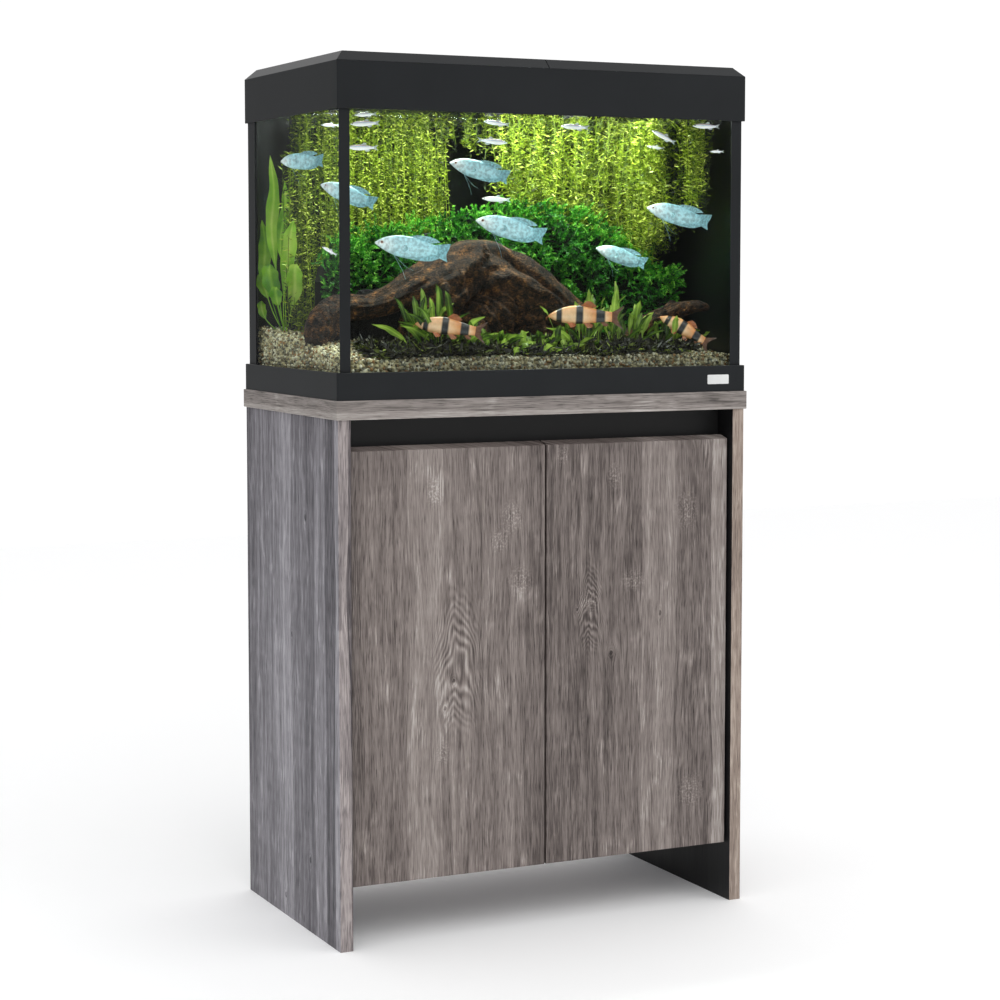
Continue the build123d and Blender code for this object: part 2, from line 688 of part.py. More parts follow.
# The driftwood is an arch with a cave under its left end and a hump at its right
DRIFTWOOD = (
    (-270, 780), (-278, 815), (-262, 846), (-180, 856), (-110, 900), (-45, 926), (-5, 934), (25, 922),
    (68, 890), (116, 848), (150, 815), (150, 784), (-100, 780), (-118, 832), (-215, 838), (-236, 780),
)
driftwood = standing_solid(DRIFTWOOD, -42, 30)
save(driftwood, "driftwood")

SIDE_ROOT = ((180, 782), (185, 808), (225, 838), (284, 838), (284, 785))
side_root = standing_solid(SIDE_ROOT, -110, -75)
save(side_root, "side_root")

MOSS_MOUND = (
    (-240, 790), (-246, 850), (-204, 942), (-64, 968), (62, 985),
    (160, 980), (205, 930), (226, 850), (220, 790),
)
moss_mound = standing_solid(MOSS_MOUND, 34, 64)
save(moss_mound, "moss_mound")

# Two curtains of stems along the back and one along the right pane, as (x, y, length, width)
CURTAINS = ((-125, 129, 238, 50), (140, 86, 172, 36), (259, 17, 58, 166))
CURTAIN_TOP = 1100
PLANT_ROUND = 10
PLANT_ROOT = GRAVEL_FRONT + 14
# The last curtain's upper part also hangs forward of it
HANGING_STEMS = (273, -40, 30, 140)
HANGING_FOOT = 958
with BuildPart() as back_plants:
    for x, y, length, width in CURTAINS:
        with BuildSketch(Plane.XY.offset(PLANT_ROOT)):
            with Locations((x, y)):
                RectangleRounded(length, width, PLANT_ROUND)
        extrude(amount=CURTAIN_TOP - PLANT_ROOT)
    with BuildSketch(Plane.XY.offset(HANGING_FOOT)):
        with Locations(HANGING_STEMS[:2]):
            RectangleRounded(HANGING_STEMS[2], HANGING_STEMS[3], PLANT_ROUND)
    extrude(amount=CURTAIN_TOP - HANGING_FOOT)
save(back_plants, "back_plants")

# A clump of tall leaves in the back left corner
TALL_PLANT = (-268, 127, 40, 62)
TALL_PLANT_HEIGHT = 225
with BuildPart() as tall_plant:
    with BuildSketch(Plane.XY.offset(PLANT_ROOT)):
        with Locations(TALL_PLANT[:2]):
            RectangleRounded(TALL_PLANT[2], TALL_PLANT[3], PLANT_ROUND)
    extrude(amount=TALL_PLANT_HEIGHT)
save(tall_plant, "tall_plant")

# Two clumps of low leaves at the front, as (x, y)
FRONT_CLUMPS = ((-150, -88), (70, -92))
FRONT_CLUMP_SIZE = (130, 54, 80)
with BuildPart() as front_plants:
    with BuildSketch(Plane.XY.offset(GRAVEL_FRONT)):
        with Locations(*FRONT_CLUMPS):
            RectangleRounded(FRONT_CLUMP_SIZE[0], FRONT_CLUMP_SIZE[1], PLANT_ROUND)
    extrude(amount=FRONT_CLUMP_SIZE[2])
save(front_plants, "front_plants")

# Internal filter: a slotted can round a sponge, with a motor head and an outlet that swivels on top

with BuildPart() as filter_body:
    with BuildSketch(Plane.XY.offset(FILTER_Z)):
        with Locations(FILTER_CENTRE):
            RectangleRounded(FILTER[0], FILTER[1], FILTER_ROUND)
    extrude(amount=FILTER[2])
    with BuildSketch(Plane.XY.offset(FILTER_Z + FILTER_WALL)):
        with Locations(FILTER_CENTRE):
            RectangleRounded(
                FILTER[0] - 2 * FILTER_WALL, FILTER[1] - 2 * FILTER_WALL, FILTER_ROUND - FILTER_WALL
            )
    extrude(amount=FILTER[2], mode=Mode.SUBTRACT)
    with BuildSketch(frontal(FILTER_CENTRE[1])):
        with Locations((FILTER_CENTRE[0], FILTER_Z + 60)):
            with GridLocations(0, 13, 1, FILTER_SLOTS):
                SlotOverall(FILTER[0] - 3 * FILTER_ROUND + 6, 5)
    extrude(amount=FILTER[1], mode=Mode.SUBTRACT)
save(filter_body, "filter_body")

with BuildPart() as filter_sponge:
    with BuildSketch(Plane.XY.offset(FILTER_Z + FILTER_WALL + 1)):
        with Locations(FILTER_CENTRE):
            RectangleRounded(
                FILTER[0] - 2 * FILTER_WALL - 2, FILTER[1] - 2 * FILTER_WALL - 2, FILTER_ROUND - FILTER_WALL
            )
    extrude(amount=FILTER[2] - FILTER_WALL - 8)
save(filter_sponge, "filter_sponge")

with BuildPart() as filter_head:
    with BuildSketch(Plane.XY.offset(FILTER_TOP)):
        with Locations(FILTER_CENTRE):
            RectangleRounded(FILTER[0], FILTER[1], FILTER_ROUND)
    extrude(amount=FILTER_HEAD)
    fillet(filter_head.edges().group_by(Axis.Z)[-1], 4)
save(filter_head, "filter_head")

with BuildPart() as filter_nozzle:
    with BuildSketch(Plane.XY.offset(NOZZLE_Z)):
        with Locations(FILTER_CENTRE):
            Circle(NOZZLE_RADIUS)
    extrude(amount=NOZZLE_HEIGHT)
    fillet(filter_nozzle.edges().group_by(Axis.Z)[-1], 2)
    with BuildSketch(frontal(FILTER_CENTRE[1])):
        with Locations((FILTER_CENTRE[0], NOZZLE_Z + NOZZLE_HEIGHT / 2)):
            Circle(SPOUT[0])
    extrude(amount=SPOUT[1])
    with BuildSketch(frontal(FILTER_CENTRE[1] - NOZZLE_RADIUS)):
        with Locations((FILTER_CENTRE[0], NOZZLE_Z + NOZZLE_HEIGHT / 2)):
            Circle(SPOUT[0] - 1.2)
    extrude(amount=SPOUT[1], mode=Mode.SUBTRACT)
save(filter_nozzle, "filter_nozzle")

filter_back = FILTER_CENTRE[1] + FILTER[1] / 2
with BuildPart() as filter_cups:
    for height in (FILTER_Z + 30, FILTER_TOP - 10):
        with BuildSketch(frontal(filter_back)):
            with Locations((FILTER_CENTRE[0], height)):
                Circle(SUCKER_RADIUS / 3)
        extrude(amount=-(INNER_WIDTH / 2 - filter_back))
        with BuildSketch(frontal(INNER_WIDTH / 2)):
            with Locations((FILTER_CENTRE[0], height)):
                Circle(SUCKER_RADIUS)
        extrude(amount=5, taper=35)
save(filter_cups, "filter_cups")

# Heater: a glass tube hung on two suction cups, with a head and a temperature dial on top

with BuildPart() as heater_tube:
    with BuildSketch(Plane.XY.offset(HEATER_Z)):
        with Locations(HEATER_CENTRE):
            Circle(HEATER_RADIUS)
    extrude(amount=HEATER_LENGTH)
    fillet(heater_tube.edges().group_by(Axis.Z)[0], 6)
save(heater_tube, "heater_tube")

with BuildPart() as heater_head:
    with BuildSketch(Plane.XY.offset(HEATER_TOP)):
        with Locations(HEATER_CENTRE):
            Circle(HEATER_HEAD[0])
    extrude(amount=HEATER_HEAD[1])
    fillet(heater_head.edges().group_by(Axis.Z)[-1], 1.5)
save(heater_head, "heater_head")

with BuildPart() as heater_dial:
    with BuildSketch(Plane.XY.offset(DIAL_Z)):
        with Locations(HEATER_CENTRE):
            Circle(DIAL_RADIUS)
            with PolarLocations(DIAL_RADIUS, 18):
                Circle(0.8, mode=Mode.SUBTRACT)
    extrude(amount=DIAL_HEIGHT - 3)
    with BuildSketch(Plane.XY.offset(DIAL_Z)):
        with Locations((HEATER_CENTRE[0], HEATER_CENTRE[1] - 2)):
            Rectangle(3, 2 * DIAL_RADIUS - 6)
    extrude(amount=DIAL_HEIGHT)
save(heater_dial, "heater_dial")

with BuildPart() as heater_clips:
    for height in HEATER_CLIP_Z:
        with BuildSketch(Plane.XY.offset(height - CLIP_HEIGHT / 2)):
            with Locations(HEATER_CENTRE):
                Circle(HEATER_RADIUS + 2.5)
            with Locations((HEATER_CENTRE[0], (HEATER_CENTRE[1] + INNER_WIDTH / 2 - 2) / 2)):
                Rectangle(5, INNER_WIDTH / 2 - 2 - HEATER_CENTRE[1])
            with Locations(HEATER_CENTRE):
                Circle(HEATER_RADIUS + RUNNING_PLAY, mode=Mode.SUBTRACT)
        extrude(amount=CLIP_HEIGHT)
        with BuildSketch(frontal(INNER_WIDTH / 2)):
            with Locations((HEATER_CENTRE[0], height)):
                Circle(SUCKER_RADIUS)
        extrude(amount=4, taper=35)
save(heater_clips, "heater_clips")

# Hood: a skirt with a 45 degree bevel round a flat top. The front of the top is two flaps.



def flap_opening(gap):
    """Corners of the lid opening in plan, drawn in by a gap on the sides that the flaps meet."""
    return (
        (-TOP_X + gap, DECK_Y),
        (-TOP_X + gap, -TOP_Y),
        (-HOOD[0] / 2 + gap, -HOOD[1] / 2),
        (HOOD[0] / 2 - gap, -HOOD[1] / 2),
        (TOP_X - gap, -TOP_Y),
        (TOP_X - gap, DECK_Y),
    )


inner_taper = FLAP_UNDER - (SKIRT_TOP - SKIRT_WALL)
with BuildPart() as hood_frame:
    with BuildSketch(Plane.XY.offset(SKIRT_Z)):
        Rectangle(*HOOD)
    extrude(amount=SKIRT_HEIGHT)
    with BuildSketch(Plane.XY.offset(SKIRT_TOP)):
        Rectangle(*HOOD)
    extrude(amount=BEVEL, taper=45)
    with BuildSketch(Plane.XY.offset(SKIRT_Z)):
        Rectangle(HOOD[0] - 2 * SKIRT_WALL, HOOD[1] - 2 * SKIRT_WALL)
    extrude(amount=SKIRT_HEIGHT - SKIRT_WALL, mode=Mode.SUBTRACT)
    with BuildSketch(Plane.XY.offset(SKIRT_TOP - SKIRT_WALL)):
        Rectangle(HOOD[0] - 2 * SKIRT_WALL, HOOD[1] - 2 * SKIRT_WALL)
    extrude(amount=inner_taper, taper=45, mode=Mode.SUBTRACT)
    # The lid opening, through the top and the front bevel
    with BuildSketch(Plane.XY.offset(SKIRT_TOP)):
        with BuildLine():
            Polyline(*flap_opening(0), close=True)
        make_face()
    extrude(amount=BEVEL, mode=Mode.SUBTRACT)
    # A ledge that rests on the tank's rim
    with BuildSketch(Plane.XY.offset(LEDGE_Z)):
        Rectangle(HOOD[0] - SKIRT_WALL, HOOD[1] - SKIRT_WALL)
        Rectangle(*HOOD_LEDGE_INNER, mode=Mode.SUBTRACT)
    extrude(amount=HOOD_LEDGE)
    # Ledges under the flaps' sides, and lugs that hold their hinge pins
    with BuildSketch(Plane.XY.offset(FLAP_UNDER - LID_GAP - HOOD_LEDGE)):
        for side, sign in SIDES:
            with Locations((sign * (TOP_X - 3), (FLAP_HINGE_Y - TOP_Y) / 2)):
                Rectangle(FLAP_LEDGE, FLAP_HINGE_Y + TOP_Y - FLAP_LEDGE)
    extrude(amount=HOOD_LEDGE)
    for x in (-TOP_X, -LUG / 2, TOP_X - LUG):
        with BuildSketch(sideways(x)):
            with BuildLine():
                Polyline(
                    (FLAP_HINGE_Y - FLAP_KNUCKLE, FLAP_HINGE_Z - FLAP_KNUCKLE),
                    (FLAP_HINGE_Y + FLAP_KNUCKLE + DECK_GAP + 1, FLAP_HINGE_Z - FLAP_KNUCKLE),
                    (FLAP_HINGE_Y + FLAP_KNUCKLE + DECK_GAP + 1, HOOD_TOP),
                    (FLAP_HINGE_Y, HOOD_TOP),
                    (FLAP_HINGE_Y - FLAP_KNUCKLE, HOOD_TOP - FLAP_KNUCKLE),
                    close=True,
                )
            make_face()
            with Locations((FLAP_HINGE_Y, FLAP_HINGE_Z)):
                Circle(FLAP_PIN_RADIUS, mode=Mode.SUBTRACT)
        extrude(amount=LUG)
    # Cut-outs in the back of the skirt and its ledge, for cables that come over the tank's rim
    with BuildSketch(frontal(HOOD[1] / 2 + 1)):
        with Locations((-NOTCH_X, SKIRT_Z + NOTCH[1] / 2 - 1), (NOTCH_X, SKIRT_Z + NOTCH[1] / 2 - 1)):
            RectangleRounded(NOTCH[0], NOTCH[1] + 2, 3)
    extrude(amount=NOTCH_DEPTH, mode=Mode.SUBTRACT)
save(hood_frame, "hood_frame")

knuckle_start = LUG / 2 + LID_GAP
knuckle_end = TOP_X - LUG - LID_GAP
for side, sign in SIDES:
    with BuildPart() as flap:
        with BuildSketch(sideways(sign * FLAP_SEAM / 2)):
            with BuildLine():
                Polyline(
                    (FLAP_HINGE_Y, HOOD_TOP),
                    (-TOP_Y, HOOD_TOP),
                    (-HOOD[1] / 2, SKIRT_TOP + LID_GAP),
                    (-HOOD[1] / 2 + 4, SKIRT_TOP + LID_GAP),
                    (-TOP_Y + 1, FLAP_UNDER),
                    (FLAP_HINGE_Y, FLAP_UNDER),
                    close=True,
                )
            make_face()
        extrude(amount=sign * HOOD[0] / 2)
        with BuildSketch(Plane.XY.offset(SKIRT_TOP)):
            Rectangle(2 * HOOD[0], 2 * HOOD[1])
            with BuildLine():
                Polyline(*flap_opening(FLAP_EDGE_GAP), close=True)
            make_face(mode=Mode.SUBTRACT)
        extrude(amount=2 * BEVEL, mode=Mode.SUBTRACT)
        # Room for the lugs, then the rolled edge that turns on the pin
        with BuildSketch(Plane.XY.offset(FLAP_UNDER - 1)):
            with Locations((0, FLAP_HINGE_Y), (sign * (TOP_X - LUG / 2), FLAP_HINGE_Y)):
                Rectangle(LUG + 2 * LID_GAP, 2 * FLAP_KNUCKLE + LUG_CLEARANCE)
        extrude(amount=HOOD_WALL + 2, mode=Mode.SUBTRACT)
        with BuildSketch(sideways(sign * knuckle_start)):
            with Locations((FLAP_HINGE_Y, FLAP_HINGE_Z)):
                Circle(FLAP_KNUCKLE)
        extrude(amount=sign * (knuckle_end - knuckle_start))
        # Two stiffening ribs under the lid
        with BuildSketch(sideways(sign * 30)):
            with Locations((-40, FLAP_UNDER - RIB[1] / 2), (-120, FLAP_UNDER - RIB[1] / 2)):
                Rectangle(RIB[0], RIB[1])
        extrude(amount=sign * (TOP_X - 60))
        with BuildSketch(sideways(0)):
            with Locations((FLAP_HINGE_Y, FLAP_HINGE_Z)):
                Circle(FLAP_PIN_RADIUS + RUNNING_PLAY)
        extrude(amount=sign * HOOD[0] / 2, mode=Mode.SUBTRACT)
    save(flap, f"{side}_flap")

with BuildPart() as flap_hinge_pins:
    for side, sign in SIDES:
        with BuildSketch(sideways(sign * 0.5)):
            with Locations((FLAP_HINGE_Y, FLAP_HINGE_Z)):
                Circle(FLAP_PIN_RADIUS)
        extrude(amount=sign * (TOP_X - 1))
save(flap_hinge_pins, "flap_hinge_pins")

# Lamp: an extruded housing with a clear lens below, hung on brackets from the hood's ledge

with BuildPart() as lamp_body:
    with BuildSketch(sideways(-LAMP_HALF_LENGTH)):
        with Locations((LAMP_Y, LAMP_Z + LAMP_HEIGHT / 2)):
            Rectangle(LAMP_WIDTH, LAMP_HEIGHT)
        with Locations((LAMP_Y, LAMP_Z + (LAMP_HEIGHT - LAMP_WALL) / 2)):
            Rectangle(LAMP_WIDTH - 2 * LAMP_WALL, LAMP_HEIGHT - LAMP_WALL, mode=Mode.SUBTRACT)
    extrude(amount=2 * LAMP_HALF_LENGTH)
    fillet(lamp_body.edges().filter_by(Axis.X).group_by(Axis.Z)[-1], 1.5)
    # Cooling fins on top
    with BuildSketch(sideways(-LAMP_HALF_LENGTH)):
        with Locations((LAMP_Y, LAMP_TOP + 1)):
            with GridLocations(5, 0, 7, 1):
                Rectangle(1.5, 2.4)
    extrude(amount=2 * LAMP_HALF_LENGTH)
save(lamp_body, "lamp_body")

with BuildPart() as lamp_lens:
    with BuildSketch(Plane.XY.offset(LAMP_Z)):
        with Locations((0, LAMP_Y)):
            Rectangle(2 * LAMP_HALF_LENGTH, LAMP_WIDTH)
    extrude(amount=-LENS)
    fillet(lamp_lens.edges().filter_by(Axis.X).group_by(Axis.Z)[0], 0.8)
save(lamp_lens, "lamp_lens")

led_board_z = LAMP_TOP - LAMP_WALL - LED_BOARD[2]
with BuildPart() as led_board:
    with BuildSketch(Plane.XY.offset(led_board_z)):
        with Locations((0, LAMP_Y)):
            Rectangle(LED_BOARD[0], LED_BOARD[1])
    extrude(amount=LED_BOARD[2])
    with BuildSketch(Plane.XY.offset(led_board_z)):
        with Locations((0, LAMP_Y)):
            with GridLocations(LED_PITCH, 14, LED_COUNT, 2):
                Rectangle(LED[0], LED[1])
    extrude(amount=-LED[2])
save(led_board, "led_board")

with BuildPart() as lamp_brackets:
    for side, sign in SIDES:
        with BuildSketch(Plane.XY.offset(LEDGE_Z + HOOD_LEDGE)):
            with Locations((sign * (LAMP_HALF_LENGTH + BRACKET[0] / 2), LAMP_Y)):
                Rectangle(BRACKET[0], BRACKET[1])
        extrude(amount=BRACKET[2])
        with BuildSketch(Plane.XY.offset(LEDGE_Z + HOOD_LEDGE)):
            with Locations((sign * (LAMP_HALF_LENGTH + BRACKET[2] / 2), LAMP_Y)):
                Rectangle(BRACKET[2], BRACKET[1])
        extrude(amount=LAMP_TOP - LEDGE_Z - HOOD_LEDGE)
save(lamp_brackets, "lamp_brackets")
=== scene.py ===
"""Finishes, planting, fish, light and camera for an aquarium with a black hood on a grey oak cabinet."""

import logging
import math
from dataclasses import dataclass
from enum import Enum
from typing import Sequence

import bmesh
import bpy
import numpy as np
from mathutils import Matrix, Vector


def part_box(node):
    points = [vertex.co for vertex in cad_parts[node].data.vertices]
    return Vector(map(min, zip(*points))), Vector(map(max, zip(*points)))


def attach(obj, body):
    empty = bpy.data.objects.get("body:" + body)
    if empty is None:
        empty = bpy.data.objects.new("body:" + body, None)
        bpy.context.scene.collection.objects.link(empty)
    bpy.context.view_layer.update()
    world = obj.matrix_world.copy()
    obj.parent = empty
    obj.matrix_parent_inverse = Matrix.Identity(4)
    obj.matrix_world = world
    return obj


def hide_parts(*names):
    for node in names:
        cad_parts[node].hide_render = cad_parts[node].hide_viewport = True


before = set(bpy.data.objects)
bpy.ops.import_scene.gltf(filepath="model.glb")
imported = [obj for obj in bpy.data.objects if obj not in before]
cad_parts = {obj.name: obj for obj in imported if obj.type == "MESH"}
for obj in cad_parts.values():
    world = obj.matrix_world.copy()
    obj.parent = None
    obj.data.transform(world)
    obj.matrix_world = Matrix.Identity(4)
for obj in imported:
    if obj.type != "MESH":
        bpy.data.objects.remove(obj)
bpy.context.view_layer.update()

MM = 0.001
log = logging.getLogger("aquarium")
Colour = tuple[float, float, float, float]
Source = bpy.types.Node | bpy.types.NodeSocket | float
ANY_PHASE = (0.0, 6.3)


# ---------------------------------------------------------------- shader helpers


def linear(hex_colour: str) -> Colour:
    """Turns an sRGB hex colour into linear light.

    Args:
        hex_colour: six hex digits after a hash sign.

    Returns:
        Linear red, green and blue, and an alpha of one.
    """
    values = [int(hex_colour[start:start + 2], 16) / 255 for start in (1, 3, 5)]
    red, green, blue = [v / 12.92 if v <= 0.04045 else ((v + 0.055) / 1.055) ** 2.4 for v in values]
    return (red, green, blue, 1.0)


def add(tree: bpy.types.NodeTree, kind: str, inputs: dict | Sequence = (), stops: Sequence = (),
        **settings) -> bpy.types.Node:
    """Adds a shader node with its settings, its inputs and, for a colour ramp, its stops.

    Args:
        tree: the material's node tree.
        kind: the node's type, without its ShaderNode prefix.
        inputs: values, sockets or nodes, by socket name or in socket order; None leaves a socket alone.
        stops: position and hex colour of each stop of a colour ramp.
        **settings: properties of the node, set before its inputs.

    Returns:
        The new node.
    """
    node = tree.nodes.new("ShaderNode" + kind)
    for name, value in settings.items():
        setattr(node, name, value)
    if stops:
        elements = node.color_ramp.elements
        while len(elements) < len(stops):
            elements.new(0.5)
        for element, (position, colour) in zip(elements, stops):
            element.position = position
            element.color = linear(colour)
    live = [socket for socket in node.inputs if socket.enabled]
    pairs = inputs.items() if isinstance(inputs, dict) else enumerate(inputs)
    for place, value in pairs:
        if value is None:
            continue
        target = live[place] if isinstance(place, int) else next(s for s in live if s.name == place)
        if isinstance(value, bpy.types.Node):
            value = next(socket for socket in value.outputs if socket.enabled)
        if isinstance(value, bpy.types.NodeSocket):
            tree.links.new(value, target)
        else:
            target.default_value = value
    return node


def calc(tree: bpy.types.NodeTree, operation: str, *values: Source) -> bpy.types.Node:
    """Adds a Math node, such as calc(tree, "MULTIPLY", a, b) for a * b."""
    return add(tree, "Math", values, operation=operation)


def tinted(tree: bpy.types.NodeTree, colour: Source | Sequence, by: Source | Sequence) -> bpy.types.Node:
    """Multiplies a colour by a shade or by another colour."""
    return add(tree, "VectorMath", [colour, by], operation="MULTIPLY")


def distance(tree: bpy.types.NodeTree, place: Source) -> bpy.types.NodeSocket:
    """Measures how far a place is from the origin."""
    return add(tree, "VectorMath", [place], operation="LENGTH").outputs["Value"]


def object_space(tree: bpy.types.NodeTree) -> bpy.types.NodeSocket:
    """Gives each point's place in its object, in metres."""
    return add(tree, "TexCoord").outputs["Object"]


def noise(tree: bpy.types.NodeTree, place: Source, size: float, detail: float) -> bpy.types.Node:
    """Adds soft noise whose blotches have the given size, in millimetres."""
    return add(tree, "TexNoise", {"Vector": place, "Scale": 1 / (size * MM), "Detail": detail})


def remap(tree: bpy.types.NodeTree, value: Source, start: tuple[float, float] = (0.0, 1.0),
          end: tuple[float, float] = (0.0, 1.0), eased: bool = False) -> bpy.types.Node:
    """Maps one range of values onto another and holds the result inside it.

    Args:
        tree: the material's node tree.
        value: the value to map.
        start: the range that it comes from.
        end: the range that it goes to.
        eased: whether it eases into both ends.

    Returns:
        The node.
    """
    ranges = {"Value": value, "From Min": start[0], "From Max": start[1], "To Min": end[0],
              "To Max": end[1]}
    return add(tree, "MapRange", ranges, interpolation_type="SMOOTHSTEP" if eased else "LINEAR")


def even_stops(colours: Sequence[str], first: float = 0.0, span: float = 1.0) -> list[tuple[float, str]]:
    """Spaces colours evenly along a ramp, from first to first + span."""
    return [(first + span * i / (len(colours) - 1), colour) for i, colour in enumerate(colours)]


@dataclass(frozen=True)
class Finish:
    """A finish that pieces share; each kind of finish draws its own shader."""

    name: str

    def shade(self, tree: bpy.types.NodeTree) -> bpy.types.Node:
        """Draws the surface and returns its last shader node; each finish has its own."""
        raise NotImplementedError

    def material(self) -> bpy.types.Material:
        """Gives the finish's material, made the first time that it is asked for.

        Returns:
            The material that carries this finish's name.
        """
        found = bpy.data.materials.get(self.name)
        if found:
            return found
        made = bpy.data.materials.new(self.name)
        made.use_nodes = True
        made.node_tree.nodes.clear()
        surface = self.shade(made.node_tree)
        add(made.node_tree, "OutputMaterial", {"Surface": surface})
        return made


class Grain(Enum):
    """The way that the print's grain runs on a board."""

    UPRIGHT = "upright"
    LEVEL = "level"
    FLAT = "flat"


@dataclass(frozen=True)
class Knot:
    """A knot in the printed grain, in millimetres: its place across and up the board, and its half sizes."""

    across: float
    along: float
    half_width: float
    half_height: float


@dataclass(frozen=True)
class OakMelamine(Finish):
    """Melamine-faced chipboard printed with weathered grey oak and pressed with a matching grain.

    The eye sees planks of slightly different tone, fine dark fibres, chalky scraped patches, and a few
    knots that the fibres flow around. A coordinate across the board is x + y, so that the print carries
    round a corner, and the one along it is z; level grain swaps the two. Flat grain, for boards that lie
    down, has y across and x along.
    """

    grain: Grain = Grain.UPRIGHT
    tones: tuple[str, ...] = ("#322B29", "#574E4B", "#7B716D", "#968C87", "#BAB2AD")
    knots: tuple[Knot, ...] = ()
    arches: tuple[Knot, ...] = ()
    scrapes: tuple[Knot, ...] = ()
    plank: float = 46.0
    fibre: tuple[float, float] = (1.3, 36.0)
    streak: tuple[float, float] = (8.0, 210.0)
    pore: tuple[float, float] = (0.9, 22.0)
    patch: tuple[float, float] = (26.0, 60.0)
    fleck: tuple[float, float] = (2.6, 3.4)
    bow: tuple[float, float] = (60.0, 300.0)
    knot_rings: float = 13.0
    arch_rings: float = 40.0
    bands: float = 0.32
    shift: float = 0.0
    inner_side: float = 0.0
    seed: float = 0.0

    def stretched_noise(self, tree: bpy.types.NodeTree, across: Source, along: Source,
                        size: tuple[float, float], detail: float,
                        distortion: float = 0.0) -> bpy.types.Node:
        """Noise drawn out along the grain.

        Args:
            tree: the material's node tree.
            across: coordinate across the grain, in metres.
            along: coordinate along the grain, in metres.
            size: the pattern's size across and along, in millimetres.
            detail: layers of finer noise.
            distortion: how far the noise swirls.

        Returns:
            The noise node, whose first output lies between zero and one.
        """
        wide = calc(tree, "MULTIPLY", across, 1 / (size[0] * MM))
        long = calc(tree, "MULTIPLY", along, 1 / (size[1] * MM))
        place = add(tree, "CombineXYZ", [wide, long, self.seed])
        return add(tree, "TexNoise", {"Vector": place, "Scale": 1.0, "Detail": detail,
                                      "Distortion": distortion})

    def centred(self, tree: bpy.types.NodeTree, across: Source, along: Source,
                spot: Knot) -> tuple[bpy.types.Node, bpy.types.Node]:
        """Measures the board from a knot, an arch or a scrape.

        Args:
            tree: the material's node tree.
            across: coordinate across the grain, in metres.
            along: coordinate along the grain, in metres.
            spot: the knot, arch or scrape.

        Returns:
            The distance sideways in metres, and both distances as shares of its half sizes.
        """
        sideways = calc(tree, "SUBTRACT", across, spot.across * MM)
        upward = calc(tree, "SUBTRACT", along, spot.along * MM)
        return sideways, add(tree, "CombineXYZ", [
            calc(tree, "MULTIPLY", sideways, 1 / (spot.half_width * MM)),
            calc(tree, "MULTIPLY", upward, 1 / (spot.half_height * MM)), 0.0])

    def draw_knots(self, tree: bpy.types.NodeTree, across: Source,
                   along: Source) -> tuple[Source, bpy.types.Node]:
        """Draws the knots: a dark heart in fine rings, and fibres that bend to flow past.

        Args:
            tree: the material's node tree.
            across: coordinate across the grain, in metres.
            along: coordinate along the grain, in metres.

        Returns:
            The bent coordinate across the grain, and how far the knots darken the print.
        """
        flow = across
        dark = add(tree, "Value")
        dark.outputs[0].default_value = 0.0
        for knot in self.knots:
            sideways, spot = self.centred(tree, across, along, knot)
            ruffle = add(tree, "TexNoise", {"Vector": spot, "Scale": 1.6, "Detail": 2.0})
            reach = calc(tree, "MULTIPLY_ADD", ruffle, 0.7, distance(tree, spot))
            pull = remap(tree, reach, (0.3, 2.8), (0.85, 0.0), eased=True)
            flow = calc(tree, "SUBTRACT", flow, calc(tree, "MULTIPLY", sideways, pull))
            rings = calc(tree, "SINE", calc(tree, "MULTIPLY", reach, self.knot_rings))
            near = remap(tree, reach, (0.5, 1.9), (0.07, 0.0), eased=True)
            heart = remap(tree, reach, (0.45, 0.95), (0.3, 0.0), eased=True)
            dark = calc(tree, "MULTIPLY_ADD", rings, near, calc(tree, "ADD", dark, heart))
        return flow, dark

    def draw_arches(self, tree: bpy.types.NodeTree, across: Source, along: Source,
                    dark: Source) -> Source:
        """Draws the arches: nested lines that rise to a peak, as where a board is cut near the bark.

        Args:
            tree: the material's node tree.
            across: coordinate across the grain, in metres.
            along: coordinate along the grain, in metres.
            dark: how far the print is darkened so far.

        Returns:
            How far it is darkened with the arches.
        """
        for arch in self.arches:
            spot = self.centred(tree, across, along, arch)[1]
            parts = add(tree, "SeparateXYZ", [spot])
            ruffle = add(tree, "TexNoise", {"Vector": spot, "Scale": 0.9, "Detail": 2.0})
            curve = calc(tree, "ADD", calc(tree, "POWER", parts.outputs[0], 2.0), parts.outputs[1])
            wavy = calc(tree, "MULTIPLY_ADD", ruffle, 1.4, curve)
            rings = calc(tree, "SINE", calc(tree, "MULTIPLY", wavy, self.arch_rings))
            near = remap(tree, distance(tree, spot), (0.3, 1.2), (0.15, 0.0), eased=True)
            dark = calc(tree, "MULTIPLY_ADD", rings, near, dark)
        return dark

    def draw_scrapes(self, tree: bpy.types.NodeTree, across: Source, along: Source,
                     dark: Source) -> Source:
        """Draws the scrapes: pale flecks that thin out away from the middle of each.

        Args:
            tree: the material's node tree.
            across: coordinate across the grain, in metres.
            along: coordinate along the grain, in metres.
            dark: how far the print is darkened so far.

        Returns:
            How far it is darkened with the scrapes, which take some of it away.
        """
        flecks = self.stretched_noise(tree, across, along, self.fleck, 3.0)
        raised = remap(tree, flecks, (0.48, 0.62))
        for scrape in self.scrapes:
            spot = self.centred(tree, across, along, scrape)[1]
            near = remap(tree, distance(tree, spot), (0.1, 1.0), (-0.24, 0.0), eased=True)
            dark = calc(tree, "MULTIPLY_ADD", raised, near, dark)
        return dark

